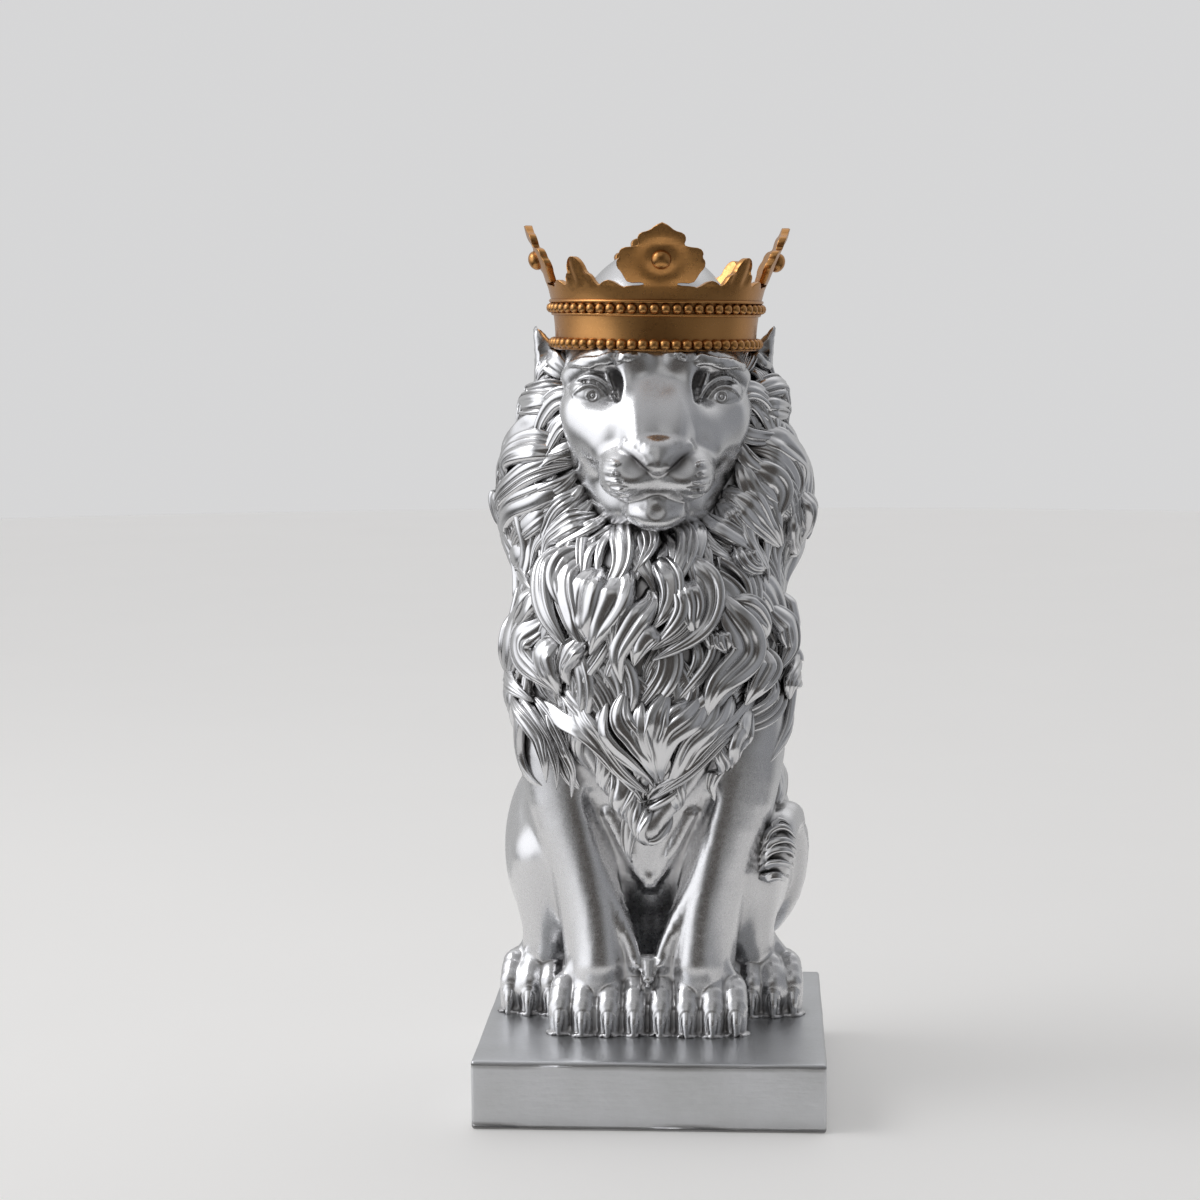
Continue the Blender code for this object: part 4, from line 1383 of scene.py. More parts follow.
class Mane:
    """The locks, each laid on the body along a swinging path."""

    steps = 26
    crown_radius = 46.5
    crown_gap = 0.4

    def __init__(self, flow: HairFlow, tree: BVHTree, pose: Pose) -> None:
        """Keeps what the locks are laid on.

        Args:
            flow: The way the hair lies.
            tree: The body's surface.
            pose: The head's and the crown's places.
        """
        self.flow = flow
        self.tree = tree
        self.pose = pose
        self.coarse = LockTemplate(22, 6, 30)
        self.fine = LockTemplate(14, 6, 24)

    def path(
        self, root: Vector, length: float, wave: float, phase: float, turns: float = 0.75,
    ) -> tuple[Array, Array]:
        """The middle line of a lock.

        Args:
            root: Where it springs from.
            length: How long it is.
            wave: How far it swings to each side.
            phase: Where in its swing it starts.
            turns: How many swings it makes.

        Returns:
            Points along it, and the surface's normals there.
        """
        point, normal, _, _ = self.tree.find_nearest(root)
        step = length / self.steps
        points, normals = [point.copy()], [normal.copy()]
        for index in range(self.steps):
            ahead = self.flow.direction(point)
            ahead = (ahead - normal * ahead.dot(normal)).normalized()
            swing = wave * math.cos(phase + 2 * math.pi * turns * index / self.steps)
            heading = (ahead + normal.cross(ahead) * swing).normalized()
            point, normal, _, _ = self.tree.find_nearest(point + heading * step)
            points.append(point.copy())
            normals.append(normal.copy())
        return np.array(points), np.array(normals)

    def traced_path(self, trace: Sequence[tuple[float, float]]) -> tuple[Array, Array]:
        """The middle line of a lock that is drawn from the front.

        Args:
            trace: Its places across and up, seen from the front.

        Returns:
            Points along it, and the surface's normals there.
        """
        rows = smooth_rows(np.array(trace, float), 8)
        away = np.concatenate([[0.0], np.cumsum(np.linalg.norm(np.diff(rows, axis=0), axis=1))])
        even = np.linspace(0.0, away[-1], self.steps + 1)
        points, normals = [], []
        for x, z in zip(np.interp(even, away, rows[:, 0]), np.interp(even, away, rows[:, 1])):
            point, normal, _, _ = self.tree.ray_cast(Vector((x, -150.0, z)), Vector((0.0, 1.0, 0.0)))
            if point is None:
                point, normal, _, _ = self.tree.find_nearest(Vector((x, 10.0, z)))
            points.append(point)
            normals.append(normal)
        return np.array(points), np.array(normals)

    def shape_lock(
        self, template: LockTemplate, points: Array, normals: Array, shape: LockShape, draw: random.Random,
        lift: float = 0.0, strands: int = 4, rise: float = 0.0,
    ) -> tuple[Array, Array]:
        """Lays a template along a path.

        Args:
            template: The ball with its rows and columns.
            points: The path's points.
            normals: The surface's normals along it.
            shape: The lock's sizes.
            draw: Where its small chances come from.
            lift: How far its tip stands off the body.
            strands: How many strands it shows.
            rise: How far the whole lock stands off the body.

        Returns:
            The places of the lock's points, and how much painted shade each takes from lying in a groove, low
            against the body or in the lock's hollow.
        """
        for _ in range(3):
            points[1:-1] = (points[:-2] + 2 * points[1:-1] + points[2:]) / 4
            normals[1:-1] = (normals[:-2] + 2 * normals[1:-1] + normals[2:]) / 4
        s = template.share
        at = s * (len(points) - 1)
        grid = np.arange(len(points))
        centre = np.stack([np.interp(at, grid, points[:, k]) for k in range(3)], axis=1)
        normal = np.stack([np.interp(at, grid, normals[:, k]) for k in range(3)], axis=1)
        slope = np.gradient(points, axis=0)
        tangent = np.stack([np.interp(at, grid, slope[:, k]) for k in range(3)], axis=1)
        tangent /= np.linalg.norm(tangent, axis=1)[:, None]
        normal /= np.linalg.norm(normal, axis=1)[:, None]
        side = np.cross(normal, tangent)
        side /= np.linalg.norm(side, axis=1)[:, None]
        roll = draw.uniform(-0.35, 0.35) * np.sin(math.pi * s) + draw.uniform(-0.18, 0.18)
        cos, sin = np.cos(roll)[:, None], np.sin(roll)[:, None]
        side, normal = side * cos + normal * sin, normal * cos - side * sin
        swell = np.sin(math.pi * np.clip(s, 0, 1) ** draw.uniform(0.58, 0.8)) ** 0.85
        width = shape.half_width * swell
        u = template.place
        crest = draw.uniform(-0.4, 0.4)
        skewed = u - crest * (1 - u**2)
        dome = np.clip(1 - np.abs(skewed) ** 2.2, 0, 1) ** 0.6
        groove = np.zeros(len(s))
        deep = np.zeros(len(s))
        cuts = self._cuts(template.across, strands, draw)
        for column, start, end in cuts:
            window = smooth_step(start, start + 0.14, s) * (1 - smooth_step(end - 0.14, end, s))
            gap = np.abs(template.column - column)
            fall = np.select([gap == 0, gap == 1], [1.0, 0.28], 0.0) * window * template.on_face
            groove += fall
            deep = np.maximum(deep, fall)
        bands = np.zeros(len(s))
        edges = [0] + sorted(column for column, _, _ in cuts) + [template.across]
        for low, high in zip(edges, edges[1:]):
            inside = (template.column >= low) & (template.column <= high) & template.on_face
            t = (template.column - low) / max(high - low, 1)
            bands += np.where(inside, 4 * t * (1 - t), 0.0)
        spoon = draw.choice((0.35, 0.8, 1.0, 1.1))
        from_share, to_share = draw.uniform(0.08, 0.22), draw.uniform(0.72, 0.95)
        along = smooth_step(from_share, from_share + 0.16, s) * (1 - smooth_step(to_share - 0.2, to_share, s))
        hollow = spoon * along * np.exp(-(((u - draw.uniform(-0.22, 0.22)) / 0.5) ** 2))
        rim = np.exp(-(((np.abs(u) - 0.82) / 0.13) ** 2))
        sunk = -0.45 + 1.05 * smooth_step(0.0, 0.35, s) - 0.28 * smooth_step(0.65, 1.0, s)
        top = shape.thickness * swell**0.7 * (0.86 * dome + 0.10 * bands)
        top += shape.rim * rim * swell - shape.hollow * hollow * swell - shape.groove * groove * swell**0.5
        bottom = -shape.thickness * 0.55 * swell**0.7 * template.below
        height = shape.thickness * sunk + rise + lift * s**3 + np.where(template.on_face, top, bottom)
        place = centre + side * (width * u)[:, None] + normal * height[:, None]
        # Painted shade: grooves, places low against the body and the lock's hollow are darkened through these
        # values.
        low = 1 - smooth_step(-0.05, 0.7, (height - rise) / shape.thickness)
        recess = np.clip(0.8 * deep + 0.5 * low + 0.12 * hollow, 0, 1)
        return place, recess

    def _cuts(self, across: int, strands: int, draw: random.Random) -> list[tuple[int, float, float]]:
        """Which columns hold a groove, and along how much of the lock.

        Args:
            across: Columns over the lock's face.
            strands: How many strands there are.
            draw: Where the chances come from.

        Returns:
            The column, start and end of each groove.
        """
        cuts = []
        for index in range(1, strands):
            column = int(round(across * (index + draw.uniform(-0.3, 0.3)) / strands))
            start = draw.choice((0.0, 0.1, 0.3, 0.45))
            end = draw.choice((1.0, 0.9, 0.75, 0.6))
            cuts.append((min(max(column, 2), across - 2), start, max(end, start + 0.35)))
        return cuts

    def under_crown(self, points: Array) -> Array:
        """Keeps locks out of the space that the crown stands in.

        Args:
            points: The points of the locks.

        Returns:
            The points, those in that space brought down under the crown's lower edge.
        """
        place = np.array(self.pose.crown())
        local = in_frame(points, self.pose.crown())
        radius = np.hypot(local[:, 0], local[:, 1])
        held = (radius < self.crown_radius) & (local[:, 2] > -self.crown_gap)
        local[held, 2] = -self.crown_gap - 0.02 * (self.crown_radius - radius[held])
        return local @ place[:3, :3].T + place[:3, 3]

    def build(
        self, name: str, locks: Sequence[tuple[LockTemplate, Array, Array]], finish: bpy.types.Material,
    ) -> bpy.types.Object:
        """Joins locks into one piece.

        Args:
            name: The piece's name.
            locks: Each lock's template, places and recesses.
            finish: Its material.

        Returns:
            The piece.
        """
        bm = bmesh.new()
        for template, _, _ in locks:
            bm.from_mesh(template.mesh)
        points = self.under_crown(np.vstack([places for _, places, _ in locks]))
        recess = np.concatenate([values for _, _, values in locks])
        set_points(bm, self.pose.lean(points))
        bmesh.ops.recalc_face_normals(bm, faces=bm.faces)
        return finish_piece(name, bm, finish, "lion", recess)


# The locks that show from the front: half width, thickness, and places across and up from root to tip
FRONT_LOCKS = (
    (4.6, 4.2, ((-33.5, 294), (-40, 299), (-44, 298), (-47.5, 291))),
    (3.6, 3.4, ((-34, 290.5), (-40, 289.5), (-46.5, 288), (-51.5, 286.5), (-55.5, 283.5))),
    (4.6, 4.2, ((-34, 281.5), (-40, 283.5), (-47, 282), (-53, 280), (-56.5, 274), (-59.5, 268.5))),
    (5, 4.4, ((-33.5, 276.5), (-40, 277), (-47, 273.5), (-53, 268), (-58, 263), (-63, 258), (-66.5, 251.5))),
    (6, 4.8, ((-33, 264), (-41, 265), (-48.5, 264), (-54.5, 261), (-57.5, 255.5), (-57, 249))),
    (4.6, 4.2, ((-30.5, 260), (-38.5, 259), (-46, 255), (-53, 249.5), (-59, 243), (-61, 235.5), (-59, 227.5),
     (-56.5, 218))),
    (6.2, 4.6, ((-57.5, 251), (-63.5, 246), (-68, 240.5), (-68.5, 233.5), (-66, 223.5))),
    (4.4, 4, ((-27.5, 249), (-33.5, 250), (-40.5, 247), (-47, 243.5), (-54.5, 240), (-58, 233), (-55.5, 225),
     (-54.5, 218))),
    (4.4, 4.2, ((-25, 247.5), (-31, 244.5), (-36.5, 240), (-38.5, 233.5), (-40.5, 227.5), (-41.5, 220))),
    (4.6, 4.2, ((-37.5, 244), (-45, 237), (-51.5, 230.5), (-53.5, 225), (-52.5, 216.5))),
    (4.6, 4.2, ((-21, 239.5), (-27.5, 235.5), (-34.5, 229.5), (-39, 225), (-42, 219.5))),
    (3.4, 3.2, ((35.5, 294), (38.5, 299.5), (42, 301), (44, 295.5), (47.5, 291))),
    (4.6, 4.2, ((38.5, 286.5), (44, 288), (50.5, 286), (55, 282), (57.5, 274))),
    (4.6, 4.2, ((39.5, 279.5), (45.5, 281.5), (50, 279), (50.5, 273))),
    (5.2, 4.4, ((39, 271.5), (45.5, 269), (51.5, 264.5), (56.5, 259.5), (58.5, 253.5), (58.5, 247))),
    (4.4, 4, ((37, 265.5), (44, 264.5), (50, 259.5), (54.5, 252.5), (54.5, 247), (51, 240), (49.5, 228.5))),
    (5.4, 4.4, ((35.5, 258.5), (42.5, 256), (48.5, 252), (50.5, 246), (48.5, 238.5), (47.5, 231))),
    (4.4, 4.2, ((34, 254.5), (40, 249), (44, 241.5), (46.5, 233), (50.5, 223))),
    (5.4, 4.6, ((28, 248), (34.5, 244), (39, 237.5), (43, 231), (49, 223))),
    (6, 4.6, ((61, 249.5), (65, 242), (67.5, 234.5), (66.5, 225.5), (64.5, 219.5))),
    (4.6, 4.2, ((59.5, 245.5), (57, 239.5), (58, 232), (61.5, 225.5), (64, 218.5))),
    (4.4, 4.2, ((57, 241.5), (53.5, 233.5), (53.5, 225), (56.5, 218.5))),
    (4.6, 4, ((26, 244), (31, 237.5), (35, 231), (39, 224))),
    (4.8, 4.2, ((-61, 226.5), (-66, 220), (-66.5, 213), (-64, 206), (-58.5, 200.5), (-53, 198))),
    (4.2, 4, ((-58.5, 226.5), (-57, 217), (-52.5, 208.5), (-47, 202.5))),
    (4.6, 4.2, ((-44.5, 227.5), (-51.5, 221), (-51.5, 214.5), (-44.5, 207.5))),
    (4.8, 4.4, ((-28, 227), (-37, 221), (-39.5, 212.5), (-38, 201.5), (-32.5, 190.5), (-29.5, 184.5))),
    (4.4, 4.2, ((-23, 226), (-32, 220.5), (-36, 213.5), (-35, 206.5), (-31.5, 200))),
    (4.4, 4.2, ((-23, 224), (-29, 217.5), (-30, 209), (-27.5, 200), (-25, 190.5), (-22, 186))),
    (6.4, 5.4, ((-17.5, 221), (-21.5, 211.5), (-23, 198), (-22, 188))),
    (6, 5, ((-13.5, 220), (-10.5, 209.5), (-16.5, 196), (-21.5, 184))),
    (4.6, 4.4, ((-10, 221), (-8.5, 212), (-12.5, 198.5), (-13.5, 184.5))),
    (4.8, 4.4, ((0, 212.5), (1, 205.5), (-5.5, 194), (-10, 184.5), (-9, 173))),
    (4.4, 4.2, ((4.5, 199), (-3, 190), (-6, 180))),
    (4.6, 4.2, ((-42, 210), (-50, 195), (-52, 187.5))),
    (5.8, 4.6, ((-53, 197.5), (-57.5, 191), (-59.5, 183), (-59, 174.5), (-52.5, 167.5), (-45, 162.5))),
    (6, 4.8, ((-41, 199), (-47.5, 189), (-47.5, 181.5), (-41.5, 175.5), (-34.5, 167.5))),
    (5.2, 4.6, ((-35.5, 192.5), (-38, 183), (-34.5, 172.5), (-33.5, 167))),
    (4.6, 4.4, ((-25, 193), (-28, 184), (-30.5, 178.5), (-29.5, 171.5))),
    (4.4, 4.2, ((3, 224), (7.5, 210.5), (5, 201), (0.5, 194))),
    (4.8, 4.4, ((9, 218.5), (13, 205), (10, 196.5), (1, 186.5))),
    (5.6, 4.8, ((11.5, 216.5), (16, 204.5), (16, 198.5), (18, 190))),
    (4.6, 4.2, ((13.5, 229.5), (15, 220.5), (22.5, 215), (25, 208), (23.5, 199), (17.5, 191), (1, 182))),
    (6.6, 5.2, ((26, 211), (30, 202.5), (36.5, 192.5), (37, 184), (32.5, 178), (25.5, 171.5), (21.5, 158))),
    (3.6, 3.6, ((23.5, 196), (24, 185.5))),
    (3.6, 3.6, ((26.5, 196), (29, 184))),
    (4.8, 4.2, ((29.5, 206), (38.5, 200.5), (43, 192.5), (41, 188))),
    (4.6, 4.2, ((35, 225.5), (36.5, 219.5), (44, 214))),
    (6, 4.8, ((60, 208.5), (58, 200.5), (59.5, 190.5), (58.5, 183.5))),
    (5.4, 4.6, ((58.5, 187.5), (57.5, 176.5), (53, 170), (53.5, 162.5))),
    (5.2, 4.6, ((47, 202.5), (51.5, 192), (53, 183), (49.5, 174))),
    (5, 4.4, ((44.5, 187), (44.5, 178.5), (40, 170.5), (36.5, 162.5))),
    (3.0, 3, ((-45, 163), (-38, 159.5), (-31, 156), (-22.5, 150), (-16, 142.5), (-8, 133), (-0.5, 123))),
    (3.8, 3.4, ((-29, 168), (-25.5, 160.5), (-19, 154.5), (-13, 146), (-5, 136), (1, 129))),
    (3.4, 3.4, ((-16, 167), (-16, 157.5), (-12, 151), (-4.5, 144), (0, 138), (2.5, 132))),
    (4, 3.6, ((-8.5, 171), (-10, 161), (-4.5, 151.5), (0, 143), (3, 134.5))),
    (3.4, 3.4, ((-2.5, 167.5), (-2, 154.5), (0, 145), (3.5, 135.5))),
    (4, 3.6, ((8, 171), (3, 162), (1, 152.5), (2.5, 143), (4, 135.5))),
    (3.8, 3.4, ((20, 165.5), (12, 163.5), (6.5, 157), (4, 146.5))),
    (4.4, 3.8, ((23, 168.5), (16, 161), (8, 154.5), (4.5, 145), (4, 134.5))),
    (4.2, 3.6, ((27.5, 167.5), (22, 155.5), (16, 151), (12.5, 145), (8, 136), (4.5, 130))),
    (4.2, 3.4, ((33, 168.5), (27.5, 157.5), (20.5, 149), (15, 138.5), (7, 129.5), (2, 123.5))),
    (3.4, 2.8, ((42.5, 166.5), (34, 160), (27, 152), (20.5, 143), (14.5, 134.5), (7, 126.5), (2.5, 122))),
    (2.8, 2.8, ((-56, 166), (-49, 158), (-43, 149), (-40, 139), (-39, 131))),
    (2.8, 2.8, ((-52.5, 166), (-45, 158), (-39.5, 149), (-36, 140), (-35.5, 128))),
    (2.6, 2.6, ((-47, 165), (-40, 157), (-35.5, 148), (-32, 139), (-31.5, 124))),
    (3.4, 2.8, ((-41, 163), (-37.5, 154.5), (-34, 145.5), (-32.5, 136.5))),
    (4.6, 3.4, ((40.5, 161), (34, 154), (29.5, 147.5), (30.5, 137.5))),
    (3, 2.6, ((26, 152), (28.5, 139), (28, 129.5), (28, 123))),
)


# The locks of the tail's tuft
TUFT_LOCKS = (
    (1.9, 2.6, ((45.5, 103), (49.5, 109), (53.5, 111.5), (57, 109.5))),
    (2.0, 2.6, ((45, 100), (50, 106.5), (55, 108), (58.5, 104.5))),
    (2.0, 2.6, ((44.5, 97), (50, 103), (55.5, 104.5), (59, 100))),
    (2.0, 2.6, ((44, 94), (50, 99.5), (55.5, 100.5), (58.5, 95.5))),
    (2.0, 2.6, ((44, 91), (49.5, 95.5), (54.5, 96), (57.5, 91))),
    (2.2, 2.4, ((44.5, 88), (49, 90.5), (53.5, 90.5), (56, 86))),
)


@dataclass
class ManeDesign:
    """Where the locks spring from, and how large they are."""

    mane: Mane
    seed: int = 11
    spacing: float = 11.0
    body_lock: LockShape = LockShape(7.8, 4.6, 76.0, 0.75, 1.4, 0.5)
    face_lock: LockShape = LockShape(4.6, 3.2, 40.0, 0.6, 0.9, 0.4)
    chin_lock: LockShape = LockShape(2.3, 2.6, 34.0, 0.3, 0.7, 0.3)
    front_groove: float = 0.75
    front_hollow: float = 0.34
    front_rim: float = 0.14
    face_rows: tuple = ((1.0, -9.0, 0.2, 21), (0.9, -15.0, 2.4, 20))
    chin_rows: tuple = ((-30.0, 240.0, 16.0, 10), (-26.0, 231.0, 21.0, 9))
    chest_point: float = 138.0

    def scattered(self, points: Array) -> list[Vector]:
        """Roots spread evenly over the mane.

        Args:
            points: The body's points.

        Returns:
            The roots, from the lowest to the highest.
        """
        draw = random.Random(self.seed)
        candidates = [Vector(p) for p in points[self.mane.flow.covers(points)]]
        draw.shuffle(candidates)
        chosen: list[Vector] = []
        for point in candidates:
            if all((point - other).length > self.spacing for other in chosen):
                chosen.append(point)
        return sorted(chosen, key=lambda root: root.z)

    def body_locks(self, points: Array) -> list[tuple[LockTemplate, Array, Array]]:
        """The locks all over the mane. Those in front lie lower, under the front locks.

        Args:
            points: The body's points.

        Returns:
            Each lock's template, places and recesses.
        """
        locks = []
        for index, root in enumerate(self.scattered(points)):
            draw = random.Random(100 + index)
            swirl = noise.noise(root * 0.017) * 5.0
            top = smooth_step(252.0, 298.0, root.z)
            in_front = 1.0 - smooth_step(-12.0, 12.0, root.y)
            size = (0.85 + 0.3 * draw.random()) * (1.0 - 0.3 * top) * (1.0 - 0.12 * in_front)
            kind = self.body_lock
            shape = LockShape(
                kind.half_width * size, kind.thickness * size, kind.length * size * (1.0 - 0.25 * top),
                kind.groove, kind.hollow * size, kind.rim,
            )
            path, normals = self.mane.path(root, shape.length, 0.8, swirl + draw.uniform(-0.5, 0.5), 0.9)
            place, recess = self.mane.shape_lock(
                self.mane.coarse, path, normals, shape, draw, 0.8 - 0.8 * in_front, draw.choice((3, 4, 4, 5)),
                -2.2 * in_front,
            )
            locks.append((self.mane.coarse, place, recess))
        return locks

    def front_locks(self) -> list[tuple[LockTemplate, Array, Array]]:
        """The long locks that show from the front, each with its own run.

        Returns:
            Each lock's template, places and recesses.
        """
        locks = []
        for index, (half_width, thickness, trace) in enumerate(FRONT_LOCKS):
            draw = random.Random(900 + index)
            shape = LockShape(
                half_width * 1.3, thickness * 1.15, 0.0, self.front_groove, self.front_hollow * thickness,
                self.front_rim * thickness,
            )
            path, normals = self.mane.traced_path(trace)
            rise = draw.uniform(0.9, 2.1) + (1.6 if trace[-1][1] < self.chest_point else 0.0)
            place, recess = self.mane.shape_lock(
                self.mane.coarse, path, normals, shape, draw, 0.4, draw.choice((2, 3, 4, 4)), rise,
            )
            locks.append((self.mane.coarse, place, recess))
        return locks

    def face_locks(self) -> list[tuple[LockTemplate, Array, Array]]:
        """The smaller locks round the face and on the tail's tuft, and the fine strands under the chin.

        Returns:
            Each lock's template, places and recesses.
        """
        locks = []
        head = self.mane.pose.head()
        for row, (reach, forward, rise, count) in enumerate(self.face_rows):
            for index in range(count):
                draw = random.Random(500 + 50 * row + index)
                angle = math.radians(-132 + 264 * index / (count - 1))
                root = head @ Vector((
                    38.5 * reach * math.sin(angle), forward, 265.0 - 33.0 * reach * math.cos(angle),
                ))
                locks.append(self.small_lock(root, self.face_lock, draw, 0.7, 3, rise))
        for index, (half_width, thickness, trace) in enumerate(TUFT_LOCKS):
            shape = LockShape(half_width, thickness, 0.0, 0.2, 0.5, 0.3)
            path, normals = self.mane.traced_path(trace)
            place, recess = self.mane.shape_lock(
                self.mane.fine, path, normals, shape, random.Random(800 + index), 0.2, 1, 0.5,
            )
            locks.append((self.mane.fine, place, recess))
        for row, (depth, height, spread, count) in enumerate(self.chin_rows):
            for index in range(count):
                draw = random.Random(700 + 50 * row + index)
                share = 2.0 * index / (count - 1) - 1.0
                place = (0.4 + spread * share, depth + 6.0 * abs(share), height + 3.0 * share**2)
                root = head @ Vector(place)
                locks.append(self.small_lock(root, self.chin_lock, draw, 0.45, 1))
        return locks

    def small_lock(
        self, root: Vector, kind: LockShape, draw: random.Random, wave: float, strands: int,
        rise: float = 0.2,
    ) -> tuple[LockTemplate, Array, Array]:
        """One small lock that follows the hair's flow.

        Args:
            root: Where it springs from.
            kind: Its sizes, before they are varied.
            draw: Where its chances come from.
            wave: How far it swings to each side.
            strands: How many strands it shows.
            rise: How far it stands off the body.

        Returns:
            The lock's template, places and recesses.
        """
        size = 0.8 + 0.35 * draw.random()
        shape = LockShape(
            kind.half_width * size, kind.thickness * size, kind.length * size,
            kind.groove, kind.hollow, kind.rim,
        )
        path, normals = self.mane.path(root, shape.length, wave, draw.uniform(0, 6.28))
        place, recess = self.mane.shape_lock(self.mane.fine, path, normals, shape, draw, 0.6, strands, rise)
        return self.mane.fine, place, recess

    def build(self, points: Array, finish: LeafFinish) -> None:
        """Makes the whole mane.

        Args:
            points: The body's points.
            finish: The locks' finish.
        """
        material = finish.material()
        body = self.body_locks(points)
        half = math.ceil(len(body) / 2)
        for index, name in enumerate(("mane_low", "mane_high")):
            self.mane.build(name, body[index * half:(index + 1) * half], material)
        self.mane.build("mane_front", self.front_locks(), material)
        self.mane.build("mane_face", self.face_locks(), material)


# The plinth


@dataclass
class Plinth:
    """The low rectangular block that the lion sits on."""

    width: float = 140.0
    depth: float = 149.0
    height: float = 27.7
    edge: float = 1.3
    waviness: float = 0.21
    seed: int = 7

    def build(self, finish: LeafFinish) -> bpy.types.Object:
        """Makes the plinth.

        Args:
            finish: Its finish.

        Returns:
            The piece.
        """
        bm = bmesh.new()
        size = Matrix.Diagonal((self.width, self.depth, self.height, 1.0))
        bmesh.ops.create_cube(bm, size=1.0, matrix=Matrix.Translation((0, 0, self.height / 2)) @ size)
        bmesh.ops.subdivide_edges(bm, edges=bm.edges[:], cuts=23, use_grid_fill=True)
        rims = [e for e in bm.edges if len(e.link_faces) == 2 and e.calc_face_angle() > 0.5]
        bmesh.ops.bevel(
            bm, geom=rims, offset=self.edge, segments=4, profile=0.5, affect="EDGES", material=-1,
        )
        noise.seed_set(self.seed)
        for vert in bm.verts:
            shift = noise.noise_vector(vert.co * 0.045) * self.waviness
            if vert.co.z < 1.0:
                shift.z = 0.0
            vert.co += shift
        return finish_piece("plinth_block", bm, finish.material(), "plinth")


# The crown


